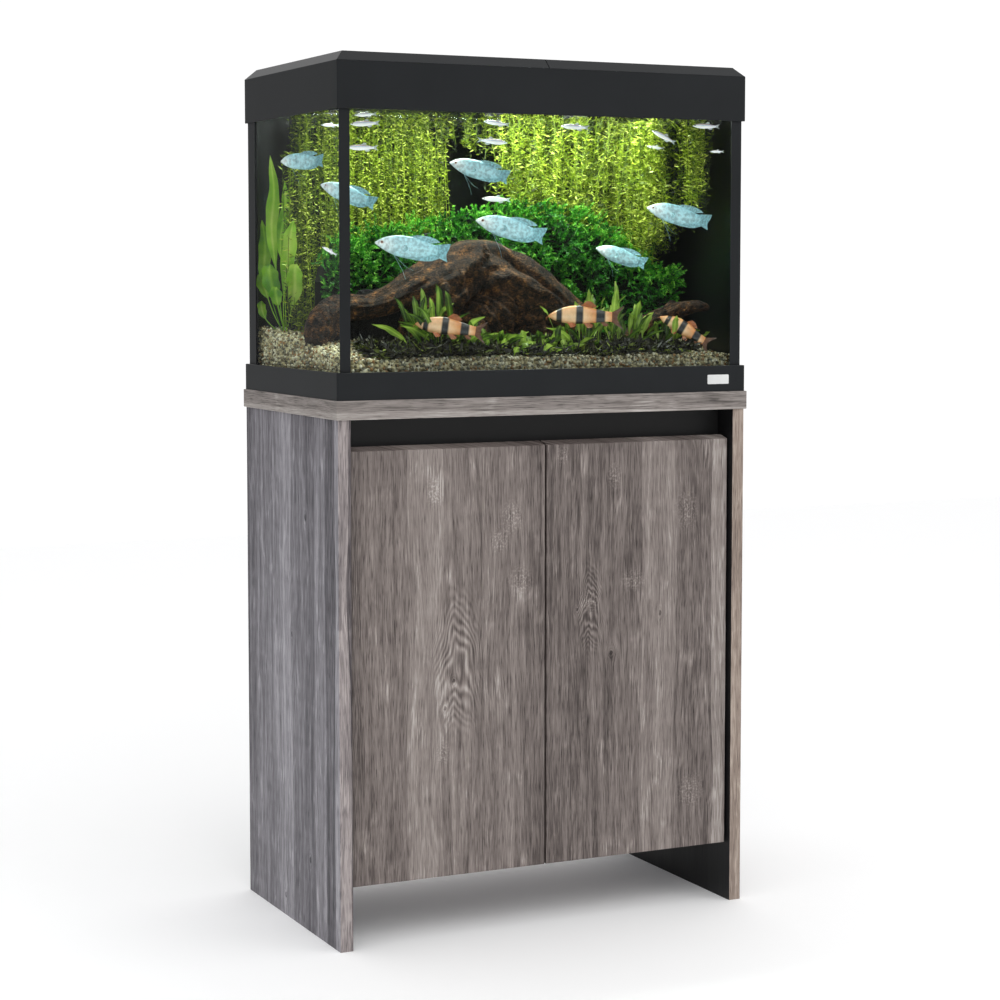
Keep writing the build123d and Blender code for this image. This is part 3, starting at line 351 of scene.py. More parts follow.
    def cover_inner_side(self, tree: bpy.types.NodeTree, colour: Source) -> bpy.types.Node:
        """Blackens the face inside the cabinet and warms the front edge a little.

        Args:
            tree: the material's node tree.
            colour: the print's colour.

        Returns:
            The colour with both.
        """
        facing = add(tree, "SeparateXYZ", [add(tree, "NewGeometry").outputs["Normal"]])
        inner = calc(tree, "GREATER_THAN", calc(tree, "MULTIPLY", facing, self.inner_side), 0.5)
        colour = add(tree, "Mix", [inner, colour, linear("#0E0E10")], data_type="RGBA")
        front = calc(tree, "LESS_THAN", facing.outputs[1], -0.5)
        warm = tinted(tree, colour, (1.06, 0.97, 0.88))
        return add(tree, "Mix", [front, colour, warm], data_type="RGBA")

    def shade(self, tree: bpy.types.NodeTree) -> bpy.types.Node:
        """Draws the oak print.

        Tone = planks + streaks + fibres + chalky patches - pores - knots and arches, with pale scrapes,
        through a ramp of greys.

        Args:
            tree: the material's node tree.

        Returns:
            The shader node.
        """
        place = add(tree, "SeparateXYZ", [object_space(tree)])
        level = calc(tree, "ADD", place.outputs[0], place.outputs[1])
        upright = place.outputs[2]
        across, along = {Grain.UPRIGHT: (level, upright), Grain.LEVEL: (upright, level),
                         Grain.FLAT: (place.outputs[1], place.outputs[0])}[self.grain]
        flow, dark = self.draw_knots(tree, across, along)
        dark = self.draw_arches(tree, across, along, dark)
        dark = self.draw_scrapes(tree, across, along, dark)

        bow = self.stretched_noise(tree, across, along, self.bow, 1.0)
        flow = calc(tree, "ADD", flow, calc(tree, "MULTIPLY", bow, 0.02))
        planks = add(tree, "TexVoronoi", {"W": calc(tree, "MULTIPLY", flow, 1 / (self.plank * MM)),
                                          "Scale": 1.0}, voronoi_dimensions="1D")
        plank_tone = add(tree, "SeparateColor", [planks.outputs["Color"]])
        fibres = self.stretched_noise(tree, flow, along, self.fibre, 5.0)
        streaks = self.stretched_noise(tree, flow, along, self.streak, 3.0, 0.4)
        patches = self.stretched_noise(tree, flow, along, self.patch, 4.0, 0.6)
        chalk = remap(tree, patches, (0.55, 0.75), (0.0, 0.26))
        chalky = calc(tree, "MULTIPLY", chalk, remap(tree, fibres, (0.42, 0.58)))
        holes = self.stretched_noise(tree, flow, along, self.pore, 3.0)
        pores = remap(tree, holes, (0.54, 0.66), (0.0, 0.22))
        crisp = remap(tree, fibres, (0.36, 0.64), (0.0, 0.22))
        tone = calc(tree, "MULTIPLY_ADD", plank_tone, self.bands, self.shift + 0.15 - self.bands / 2)
        for part, weight in ((streaks, 0.6), (crisp, 1.0), (chalky, 1.0), (pores, -0.9), (dark, -1.0)):
            tone = calc(tree, "MULTIPLY_ADD", part, weight, tone)
        colour = add(tree, "ValToRGB", [tone], stops=even_stops(self.tones, 0.14, 0.72))
        if self.inner_side:
            colour = self.cover_inner_side(tree, colour)
        relief = add(tree, "Bump", {"Height": tone, "Strength": 0.25, "Distance": 0.0006})
        rough = remap(tree, tone, end=(0.62, 0.48))
        return add(tree, "BsdfPrincipled", {"Base Color": colour, "Roughness": rough, "Normal": relief,
                                            "Specular IOR Level": 0.35})


@dataclass(frozen=True)
class Plastic(Finish):
    """Moulded or foamed plastic, board face or rubber: one colour with a fine texture.

    The texture's grain is a noise of the given size that mottles the colour a little, breaks up the
    gloss and stands out by a few hundredths of a millimetre.
    """

    colour: str = "#242527"
    roughness: float = 0.4
    grain: float = 1.2
    relief: float = 0.12
    mottle: float = 0.12
    metallic: float = 0.0
    coat: float = 0.0
    glow: float = 0.0
    shine: float = 0.5

    def shade(self, tree: bpy.types.NodeTree) -> bpy.types.Node:
        """Draws the plastic.

        Args:
            tree: the material's node tree.

        Returns:
            The shader node.
        """
        place = object_space(tree)
        grain = noise(tree, place, self.grain, 2.0)
        cloud = add(tree, "TexNoise", {"Vector": place, "Scale": 14.0, "Detail": 3.0})
        shade = remap(tree, cloud, (0.3, 0.7), (1 - self.mottle, 1 + self.mottle))
        colour = tinted(tree, linear(self.colour)[:3], shade)
        rough = remap(tree, grain, end=(self.roughness - 0.06, self.roughness + 0.06))
        bump = add(tree, "Bump", {"Height": grain, "Strength": self.relief, "Distance": 0.0002})
        return add(tree, "BsdfPrincipled", {
            "Base Color": colour, "Roughness": rough, "Normal": bump, "Metallic": self.metallic,
            "Coat Weight": self.coat, "Emission Color": linear("#F4F8FF"), "Emission Strength": self.glow,
            "Specular IOR Level": self.shine})


@dataclass(frozen=True)
class BrushedMetal(Finish):
    """Pressed, cast or drawn metal whose last pass left fine lines along one axis.

    Noise stretched along x gives the lines, which spread the highlight and shade the metal.
    """

    colour: str = "#B9BCC0"
    roughness: float = 0.32
    line: float = 0.5

    def shade(self, tree: bpy.types.NodeTree) -> bpy.types.Node:
        """Draws the metal.

        Args:
            tree: the material's node tree.

        Returns:
            The shader node.
        """
        fine = 1 / (self.line * MM)
        place = add(tree, "Mapping", {"Vector": object_space(tree), "Scale": (20.0, fine, fine)})
        lines = add(tree, "TexNoise", {"Vector": place, "Scale": 1.0, "Detail": 2.0})
        shade = remap(tree, lines, end=(0.82, 1.12))
        colour = tinted(tree, linear(self.colour)[:3], shade)
        rough = remap(tree, lines, end=(self.roughness - 0.08, self.roughness + 0.1))
        bump = add(tree, "Bump", {"Height": lines, "Strength": 0.08, "Distance": 0.0001})
        return add(tree, "BsdfPrincipled", {"Base Color": colour, "Metallic": 1.0, "Roughness": rough,
                                            "Normal": bump})


@dataclass(frozen=True)
class SeeThrough(Finish):
    """Float glass, clear silicone or still water: see-through, with a reflection that grows at a slant.

    The reflected share is base + (slanted - base) * slant ** 5, where slant runs from zero square on to
    one at a grazing angle.
    """

    tint: str = "#FDFFFE"
    base: float = 0.008
    slanted: float = 0.3
    roughness: float = 0.02
    ripple: float = 0.0

    def shade(self, tree: bpy.types.NodeTree) -> bpy.types.Node:
        """Draws the clear body and its reflection.

        Args:
            tree: the material's node tree.

        Returns:
            The shader node.
        """
        swell = add(tree, "TexNoise", {"Vector": object_space(tree), "Scale": 22.0, "Detail": 2.0})
        bump = add(tree, "Bump", {"Height": swell, "Strength": self.ripple, "Distance": 0.004})
        slant = add(tree, "LayerWeight", {"Blend": 0.5}).outputs["Facing"]
        power = calc(tree, "POWER", slant, 5.0)
        share = calc(tree, "MULTIPLY_ADD", power, self.slanted - self.base, self.base)
        clear = add(tree, "BsdfTransparent", {"Color": linear(self.tint)})
        gloss = add(tree, "BsdfAnisotropic", {"Roughness": self.roughness, "Normal": bump})
        return add(tree, "MixShader", [share, clear, gloss])


@dataclass(frozen=True)
class Foliage(Finish):
    """Living leaf tissue: a waxy green skin that lets some light through from behind.

    Each leaf carries a tone, zero to one, which picks its green; a fine noise breaks it up.
    """

    greens: tuple[str, ...] = ("#1A2A0A", "#5C7F16", "#9DBF2C", "#CDE066")
    glow_through: float = 0.35
    roughness: float = 0.45
    blotch: float = 6.0

    def shade(self, tree: bpy.types.NodeTree) -> bpy.types.Node:
        """Draws the leaf skin.

        Args:
            tree: the material's node tree.

        Returns:
            The shader node.
        """
        tone = add(tree, "Attribute", attribute_name="tone").outputs["Fac"]
        blotches = noise(tree, object_space(tree), self.blotch, 3.0)
        mixed = calc(tree, "MULTIPLY_ADD", calc(tree, "SUBTRACT", blotches, 0.5), 0.35, tone)
        colour = add(tree, "ValToRGB", [mixed], stops=even_stops(self.greens))
        skin = add(tree, "BsdfPrincipled", {"Base Color": colour, "Roughness": self.roughness})
        through = add(tree, "BsdfTranslucent", {"Color": colour})
        return add(tree, "MixShader", [self.glow_through, skin, through])


@dataclass(frozen=True)
class BogWood(Finish):
    """Waterlogged bog wood: dark brown bark worn to stringy ridges with rusty flecks.

    A stringy noise drawn out along x and a lumpy one pick the brown; the strings also stand out.
    """

    browns: tuple[str, ...] = ("#050403", "#19110B", "#3A2818", "#624226", "#A06C34")
    string: float = 1.8
    lump: float = 13.0

    def shade(self, tree: bpy.types.NodeTree) -> bpy.types.Node:
        """Draws the wood.

        Args:
            tree: the material's node tree.

        Returns:
            The shader node.
        """
        place = object_space(tree)
        drawn = add(tree, "Mapping", {"Vector": place, "Rotation": (0.0, 0.5, 0.0),
                                      "Scale": (0.42, 1.0, 1.0)})
        strings = add(tree, "TexNoise", {"Vector": drawn, "Scale": 1 / (self.string * MM), "Detail": 5.0,
                                         "Roughness": 0.65, "Distortion": 0.8})
        lumps = noise(tree, place, self.lump, 4.0)
        tone = calc(tree, "MULTIPLY_ADD", lumps, 0.9, calc(tree, "MULTIPLY_ADD", strings, 1.25, -0.58))
        colour = add(tree, "ValToRGB", [tone], stops=even_stops(self.browns, 0.25, 0.55))
        bump = add(tree, "Bump", {"Height": strings, "Strength": 1.0, "Distance": 0.005})
        return add(tree, "BsdfPrincipled", {"Base Color": colour, "Roughness": 0.75, "Normal": bump,
                                            "Specular IOR Level": 0.3})


@dataclass(frozen=True)
class RiverGravel(Finish):
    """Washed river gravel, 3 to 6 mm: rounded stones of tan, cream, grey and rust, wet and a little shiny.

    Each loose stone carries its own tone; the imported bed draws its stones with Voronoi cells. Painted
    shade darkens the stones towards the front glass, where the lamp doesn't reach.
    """

    stones: tuple[str, ...] = ("#544D34", "#9C9068", "#C8BC90", "#8A8C78", "#E6E0BA", "#9C7644", "#D6CC9E",
                               "#6E664A", "#F4F0D4", "#A8A07C")
    stone: float = 5.0
    # how far painted shade darkens the stones at the front glass, and where it fades out in depth and to the
    # left
    front_shade: float = 0.42
    front_shade_depth: tuple[float, float] = (-150.0, -85.0)
    front_shade_side: tuple[float, float] = (-250.0, -205.0)
    packed: bool = False

    def shade(self, tree: bpy.types.NodeTree) -> bpy.types.Node:
        """Draws the stones.

        Args:
            tree: the material's node tree.

        Returns:
            The shader node.
        """
        place = object_space(tree)
        if self.packed:
            cells = add(tree, "TexVoronoi", {"Vector": place, "Scale": 1 / (self.stone * MM)})
            tone = add(tree, "SeparateColor", [cells.outputs["Color"]])
            height = cells.outputs["Distance"]
            bump = add(tree, "Bump", {"Height": height, "Strength": 0.8, "Distance": 0.003}, invert=True)
        else:
            tone = add(tree, "Attribute", attribute_name="tone").outputs["Fac"]
            grit = add(tree, "TexNoise", {"Vector": place, "Scale": 1800.0, "Detail": 2.0})
            bump = add(tree, "Bump", {"Height": grit, "Strength": 0.3, "Distance": 0.0004})
        steps = [(i / len(self.stones), stone) for i, stone in enumerate(self.stones)]
        colour = add(tree, "ValToRGB", [tone], stops=steps)
        colour.color_ramp.interpolation = "CONSTANT"
        speckle = add(tree, "TexNoise", {"Vector": place, "Scale": 900.0, "Detail": 3.0})
        # painted shade: the stones darken towards the front glass, except at the far left corner, as where
        # the lamp doesn't reach
        parts = add(tree, "SeparateXYZ", [place])
        near_glass = remap(tree, parts.outputs[1], (self.front_shade_depth[0] * MM, self.front_shade_depth[1] * MM),
                           (self.front_shade, 0.0))
        past_corner = remap(tree, parts.outputs[0], (self.front_shade_side[0] * MM, self.front_shade_side[1] * MM))
        painted_front_shade = calc(tree, "MULTIPLY", near_glass, past_corner)
        shade = calc(tree, "SUBTRACT", remap(tree, speckle, end=(0.55, 1.2)), painted_front_shade)
        mixed = tinted(tree, colour, shade)
        return add(tree, "BsdfPrincipled", {"Base Color": mixed, "Roughness": 0.42, "Normal": bump})


@dataclass(frozen=True)
class FishSkin(Finish):
    """Wet scales: soft colour with fine scale relief and a pearly gloss.

    The skin reads two values of each point: run, from nose (0) to tail (1), and rise, from belly (0) to
    back (1). Stops along run paint the bands, a second ramp over rise lightens the belly. Lit is painted
    light: the skin glows in its own colour, though a fish is no lamp.
    """

    along_body: tuple[tuple[float, str], ...] = ((0.0, "#FFFFFF"), (1.0, "#FFFFFF"))
    up_body: tuple[tuple[float, str], ...] = ((0.0, "#FFFFFF"), (1.0, "#FFFFFF"))
    mottle: float = 0.3
    mottle_size: float = 6.0
    roughness: float = 0.3
    # strength of the painted glow that brightens the skin
    lit: float = 0.0

    def shade(self, tree: bpy.types.NodeTree) -> bpy.types.Node:
        """Draws the skin.

        Args:
            tree: the material's node tree.

        Returns:
            The shader node.
        """
        place = object_space(tree)
        run = add(tree, "Attribute", attribute_name="run").outputs["Fac"]
        rise = add(tree, "Attribute", attribute_name="rise").outputs["Fac"]
        bands = add(tree, "ValToRGB", [run], stops=self.along_body)
        belly = add(tree, "ValToRGB", [rise], stops=self.up_body)
        blotches = noise(tree, place, self.mottle_size, 2.0)
        shade = remap(tree, blotches, (0.35, 0.62), (1 - self.mottle, 1.0))
        colour = tinted(tree, tinted(tree, bands, belly), shade)
        scales = add(tree, "TexVoronoi", {"Vector": place, "Scale": 700.0})
        bump = add(tree, "Bump", {"Height": scales.outputs["Distance"], "Strength": 0.25,
                                  "Distance": 0.0004})
        # painted light: the skin glows with its own colour by lit, though a fish is no lamp
        return add(tree, "BsdfPrincipled", {
            "Base Color": colour, "Roughness": self.roughness, "Normal": bump, "Coat Weight": 0.3,
            "Emission Color": colour, "Emission Strength": self.lit})


# ---------------------------------------------------------------- mesh helpers


def smooth(points: np.ndarray | Sequence, share: np.ndarray) -> np.ndarray:
    """A Catmull-Rom curve: each stretch between two points is a cubic whose slope matches its neighbours.

    Args:
        points: evenly spaced points, the last axis their coordinates and the one before it their order.
        share: places along the curve, zero to one.

    Returns:
        The curve's points at those places.
    """
    knots = np.asarray(points, float)
    first = 2 * knots[..., :1, :] - knots[..., 1:2, :]
    last = 2 * knots[..., -1:, :] - knots[..., -2:-1, :]
    padded = np.concatenate([first, knots, last], axis=-2)
    place = np.clip(share, 0, 1) * (knots.shape[-2] - 1)
    stretch = np.minimum(place.astype(int), knots.shape[-2] - 2)
    t = (place - stretch)[..., None]
    a, b, c, d = (padded[..., stretch + i, :] for i in range(4))
    return 0.5 * (2 * b + (c - a) * t + (2 * a - 5 * b + 4 * c - d) * t ** 2
                  + (3 * b - a - 3 * c + d) * t ** 3)


def unit(vectors: np.ndarray) -> np.ndarray:
    """Scales vectors along the last axis to length one."""
    return vectors / np.maximum(np.linalg.norm(vectors, axis=-1, keepdims=True), 1e-9)


def grid_faces(rows: int, columns: int, wrap: bool = False, copies: int = 1) -> np.ndarray:
    """Quads of a grid of points, row by row, for one grid or many alike.

    Args:
        rows: points down the grid.
        columns: points across it.
        wrap: whether the last column joins the first.
        copies: grids that follow one another in the list of points.

    Returns:
        Four point numbers for each face.
    """
    index = np.arange(rows * columns).reshape(rows, columns)
    if wrap:
        index = np.concatenate([index, index[:, :1]], axis=1)
    quads = np.stack([index[:-1, :-1], index[:-1, 1:], index[1:, 1:], index[1:, :-1]], -1).reshape(-1, 4)
    return (quads[None] + (np.arange(copies) * rows * columns)[:, None, None]).reshape(-1, 4)


def tubes(paths: np.ndarray, radii: np.ndarray, sides: int,
          upright: Sequence = (0.05, 1.0, 0.02)) -> np.ndarray:
    """Round tubes along paths: point = path + radius * (side * cos + up * sin) of an angle round the path.

    Args:
        paths: tubes, points along each, coordinates.
        radii: a radius for each point, or for each point and side.
        sides: points round each tube.
        upright: a direction that no path runs along.

    Returns:
        Points, as tubes, points along, sides, coordinates.
    """
    run = unit(np.gradient(paths, axis=1))
    side = unit(np.cross(run, np.asarray(upright, float)))
    up = np.cross(side, run)
    angle = np.arange(sides) * 2 * math.pi / sides
    round_path = side[:, :, None] * np.cos(angle)[:, None] + up[:, :, None] * np.sin(angle)[:, None]
    reach = radii if radii.ndim == 3 else radii[:, :, None]
    return paths[:, :, None] + round_path * reach[..., None]


def keep_within(points: np.ndarray, room: Sequence[tuple[float, float]]) -> None:
    """Moves points that lie outside a room back to its walls.

    Args:
        points: the points, whose last axis is the coordinates; changed in place.
        room: the lowest and highest x, then the lowest and highest y.
    """
    for axis, (low, high) in enumerate(room):
        points[..., axis] = np.clip(points[..., axis], low, high)


def diamonds(base: np.ndarray, run: np.ndarray, side: np.ndarray, length: np.ndarray,
             width: np.ndarray) -> np.ndarray:
    """Leaflets of four points each: foot, one edge, tip and the other edge.

    Args:
        base: where each leaflet starts.
        run: unit direction of each leaflet.
        side: a direction across each leaflet.
        length: length of each leaflet.
        width: half width of each leaflet.

    Returns:
        Points, as leaflets, four, coordinates.
    """
    across = unit(side - run * np.sum(side * run, axis=-1, keepdims=True)) * width[:, None]
    reach = run * length[:, None]
    widest = base + reach * 0.45
    return np.stack([base, widest + across, base + reach, widest - across], axis=1)


@dataclass
class Piece:
    """Collects points, faces and values, in millimetres, into one mesh object."""

    name: str
    body: str
    slot: str | None
    finishes: tuple[Finish, ...]
    replaces: tuple[str, ...] = ()
    soft_shaded: bool = True
    merge: bool = False

    def __post_init__(self) -> None:
        """Starts the piece empty."""
        self.points: list[np.ndarray] = []
        self.faces: list[np.ndarray] = []
        self.finish_of_face: list[np.ndarray] = []
        self.values: dict[str, list[np.ndarray]] = {}

    def put(self, points: np.ndarray, faces: np.ndarray, finish: int = 0, **values: np.ndarray) -> None:
        """Adds points and the faces between them.

        Args:
            points: any shape whose last axis is the coordinates.
            faces: point numbers, counted from the first of these points.
            finish: which of the piece's finishes they take.
            **values: a named number for each point, which the finish reads.
        """
        start = sum(len(p) for p in self.points)
        flat = np.asarray(points, float).reshape(-1, 3)
        self.points.append(flat)
        self.faces.append(faces + start)
        self.finish_of_face.append(np.full(len(faces), finish))
        for name, value in values.items():
            self.values.setdefault(name, []).append(np.broadcast_to(value, flat.shape[:1]).ravel())

    def put_leaflets(self, leaflets: np.ndarray, tone: np.ndarray) -> None:
        """Adds leaflets of four points, each with a tone that is held between zero and one.

        Args:
            leaflets: points, as leaflets, four, coordinates.
            tone: the tone of each leaflet.
        """
        faces = np.arange(len(leaflets) * 4).reshape(-1, 4)
        self.put(leaflets, faces, tone=np.repeat(np.clip(tone, 0, 1), 4))

    def build(self) -> bpy.types.Object:
        """Makes the mesh object, rides it on its body and hides the nodes that it stands for.

        Returns:
            The object.
        """
        mesh = bpy.data.meshes.new(self.name)
        faces = np.concatenate(self.faces)
        mesh.from_pydata(np.concatenate(self.points) * MM, [], faces)
        mesh.polygons.foreach_set("material_index", np.concatenate(self.finish_of_face).astype(np.int32))
        for name, value in self.values.items():
            layer = mesh.attributes.new(name, "FLOAT", "POINT")
            layer.data.foreach_set("value", np.concatenate(value).astype(np.float32))
        for finish in self.finishes:
            mesh.materials.append(finish.material())
        piece = bpy.data.objects.new(self.name, mesh)
        bpy.context.scene.collection.objects.link(piece)
        if self.merge:
            self.close_poles(mesh)
        mesh.polygons.foreach_set("use_smooth", np.full(len(mesh.polygons), self.soft_shaded))
        mesh.update()
        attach(piece, self.body)
        if self.replaces:
            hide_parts(*self.replaces)
        log.info("%s: %d faces on %s", self.name, len(mesh.polygons), self.body)
        return piece

    @staticmethod
    def close_poles(mesh: bpy.types.Mesh) -> None:
        """Merges points that fall together, such as a row drawn in to a pole, and turns faces outwards.

        Args:
            mesh: the mesh to clean.
        """
        work = bmesh.new()
        work.from_mesh(mesh)
        bmesh.ops.remove_doubles(work, verts=work.verts, dist=0.00002)
        bmesh.ops.recalc_face_normals(work, faces=work.faces)
        work.to_mesh(mesh)
        work.free()


def dress(finish: Finish, *nodes: str) -> None:
    """Gives CAD nodes a finish.

    Args:
        finish: the finish.
        *nodes: the nodes' names.
    """
    for name in nodes:
        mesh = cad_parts[name].data
        mesh.materials.clear()
        mesh.materials.append(finish.material())
        log.info("%s: %s", name, finish.name)


# ---------------------------------------------------------------- the cabinet


@dataclass
class Cabinet:
    """The grey oak cabinet: boards, doors and their fittings."""

    # painted shade: the left side panel takes darker, cooler greys than the same oak print on the other
    # boards
    left_panel_shaded_tones: tuple[str, ...] = ("#232125", "#434046", "#69666C", "#89868C", "#B0ADB3")

    def dress(self) -> None:
        """Gives each board its print and each fitting its metal or plastic."""
        dress(OakMelamine("oak_melamine_left_panel", tones=self.left_panel_shaded_tones, seed=3.0,
                          plank=38.0, bands=0.36, shift=0.02, inner_side=1.0, knots=(
            Knot(-360, 560, 7, 14), Knot(-307, 396, 6, 11), Knot(-372, 98, 8, 13), Knot(-277, 28, 7, 12))),
              "left_side_panel")
        dress(OakMelamine("oak_melamine_right_panel", seed=7.0, inner_side=-1.0,
                          knots=(Knot(330, 260, 7, 14),)),
              "right_side_panel")
        dress(OakMelamine("oak_melamine_left_door", seed=11.0, shift=-0.06, knots=(
            Knot(-315, 309, 5, 9), Knot(-302, 345, 5, 8)), arches=(Knot(-297, 372, 40, 105),),
            scrapes=(Knot(-216, 561, 24, 34), Knot(-234, 530, 20, 26), Knot(-204, 475, 26, 30),
                     Knot(-330, 600, 16, 30), Knot(-318, 250, 14, 24))), "left_door")
        dress(OakMelamine("oak_melamine_right_door", seed=17.0, plank=52.0, knots=(
            Knot(-64, 366, 6, 9), Knot(-117, 429, 4, 7), Knot(13, 416, 5, 12)),
            arches=(Knot(-97, 430, 24, 66),),
            scrapes=(Knot(-97, 441, 20, 28), Knot(-30, 465, 26, 22), Knot(55, 558, 26, 40),
                     Knot(63, 162, 30, 36), Knot(-139, 642, 14, 20), Knot(-60, 610, 16, 26))), "right_door")
        dress(OakMelamine("oak_melamine_top_board", grain=Grain.LEVEL, plank=14.0, seed=23.0,
                          tones=("#3E3A38", "#66605C", "#8D8581", "#A69F9A", "#C4BEBA"),
                          fibre=(0.9, 60.0), streak=(4.0, 120.0)), "top_board")
        dress(OakMelamine("oak_melamine_inside", seed=29.0, grain=Grain.FLAT), "bottom_board",
              "inner_shelf")
        dress(Plastic("black_foil_board", colour="#0B0B0C", roughness=0.6, grain=0.8, relief=0.2),
              "front_rail", "rear_rail", "back_panel")
        dress(Plastic("moulded_black_polypropylene", colour="#1C1D1F", roughness=0.45),
              "cable_grommet", "magnet_catches")
        dress(Plastic("soft_door_bumper_rubber", colour="#2A2A2C", roughness=0.6), "door_bumpers")
        dress(BrushedMetal("nickel_plated_steel"), "shelf_pins", "cam_bolts", "hinge_plates", "hinge_arms",
              "hinge_screws", "left_hinge_cups", "right_hinge_cups", "left_hinge_pins", "right_hinge_pins",
              "left_strike_plate", "right_strike_plate")
        dress(BrushedMetal("die_cast_zinc", colour="#8F9296", roughness=0.42), "cam_locks")


@dataclass
class Hood:
    """The black hood with its flaps and its lamp."""

    lamp_drop: float = 8.0
    lamp_power: float = 2.7
    lit_share: float = 0.8

    def dress(self) -> None:
        """Gives the hood satin plastic and its lamp aluminium, circuit board and frosted lens."""
        satin = Plastic("satin_black_abs", colour="#232527", roughness=0.36, grain=0.7, relief=0.1,
                        mottle=0.06, shine=0.18)
        dress(satin, "hood_frame", "left_flap", "right_flap", "lamp_brackets")
        dress(BrushedMetal("drawn_steel_pin", roughness=0.28), "flap_hinge_pins")
        dress(BrushedMetal("anodised_aluminium_extrusion", colour="#C4C7CA", roughness=0.36, line=0.3),
              "lamp_body")
        dress(Plastic("frosted_acrylic_lens", colour="#EEF3F6", roughness=0.25, glow=2.5), "lamp_lens")
        dress(Plastic("white_circuit_board", colour="#E9ECE8", roughness=0.4), "led_board")

    def light(self) -> None:
        """Puts a long cool light under the lens, and moves it with the hood."""
        low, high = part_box("lamp_lens")
        data = bpy.data.lights.new("lamp_light", "AREA")
        data.shape = "RECTANGLE"
        data.size = (high.x - low.x) * self.lit_share
        data.size_y = high.y - low.y
        data.energy = self.lamp_power
        data.color = (0.95, 1.0, 0.94)
        lamp = bpy.data.objects.new("lamp_light", data)
        lamp.location = (0.0, (low.y + high.y) / 2, low.z - self.lamp_drop * MM)
        bpy.context.scene.collection.objects.link(lamp)
        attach(lamp, "hood")


@dataclass
class Tank:
    """The glass tank with its trims, its film and its fittings."""

    water_level: float = 1098.0
    inset: float = 7.0
    columns: int = 61
    rows: int = 35
    swell: float = 0.25

    def dress(self) -> None:
        """Gives the tank its glass, silicone and plastics."""
        dress(SeeThrough("float_glass"), "bottom_glass", "front_glass", "back_glass", "left_glass",
              "right_glass")
        dress(Plastic("black_silicone", colour="#141416", roughness=0.35, grain=2.0), "silicone_seams")
        dress(Plastic("satin_black_abs", colour="#232527", shine=0.18), "base_frame", "tank_rim",
              "corner_trims")
        dress(Plastic("black_background_film", colour="#0C0D0E", roughness=0.3, grain=0.4, relief=0.05),
              "background_film")
        dress(Plastic("brushed_white_badge", colour="#E8E9E8", roughness=0.3, grain=0.6), "badge")
        black = Plastic("filter_black_abs", colour="#131415", roughness=0.4)
        dress(black, "filter_body", "filter_head", "filter_nozzle", "heater_head")
        dress(Plastic("coarse_filter_sponge", colour="#1D2A38", roughness=0.9, grain=1.6, relief=0.9),
              "filter_sponge")
        dress(SeeThrough("smoked_heater_glass", tint="#4A4E50", base=0.05), "heater_tube")
        dress(SeeThrough("clear_silicone_rubber", tint="#B9BEBE", base=0.08, roughness=0.3), "filter_cups",
              "heater_clips")
        dress(Plastic("moulded_red_dial", colour="#A8261C", roughness=0.35), "heater_dial")

    def build(self) -> None:
        """Lays the water's surface: a sheet between the panes that swells by up to half a millimetre."""
        low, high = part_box("bottom_glass")
        x = np.linspace(low.x / MM + self.inset, high.x / MM - self.inset, self.columns)
        y = np.linspace(low.y / MM + self.inset, high.y / MM - self.inset, self.rows)
        gx, gy = np.meshgrid(x, y)
        swell = self.swell * np.sin(gx / 19) * np.cos(gy / 23) + self.swell * np.sin((gx + gy) / 31)
        water = Piece("water_surface", "cabinet", "clear_glass",
                      (SeeThrough("still_water", tint="#FAFFFC", base=0.02, ripple=0.3),))
        water.put(np.stack([gx, gy, self.water_level + swell], -1), grid_faces(len(y), len(x)))
        water.build()


# ---------------------------------------------------------------- gravel and wood


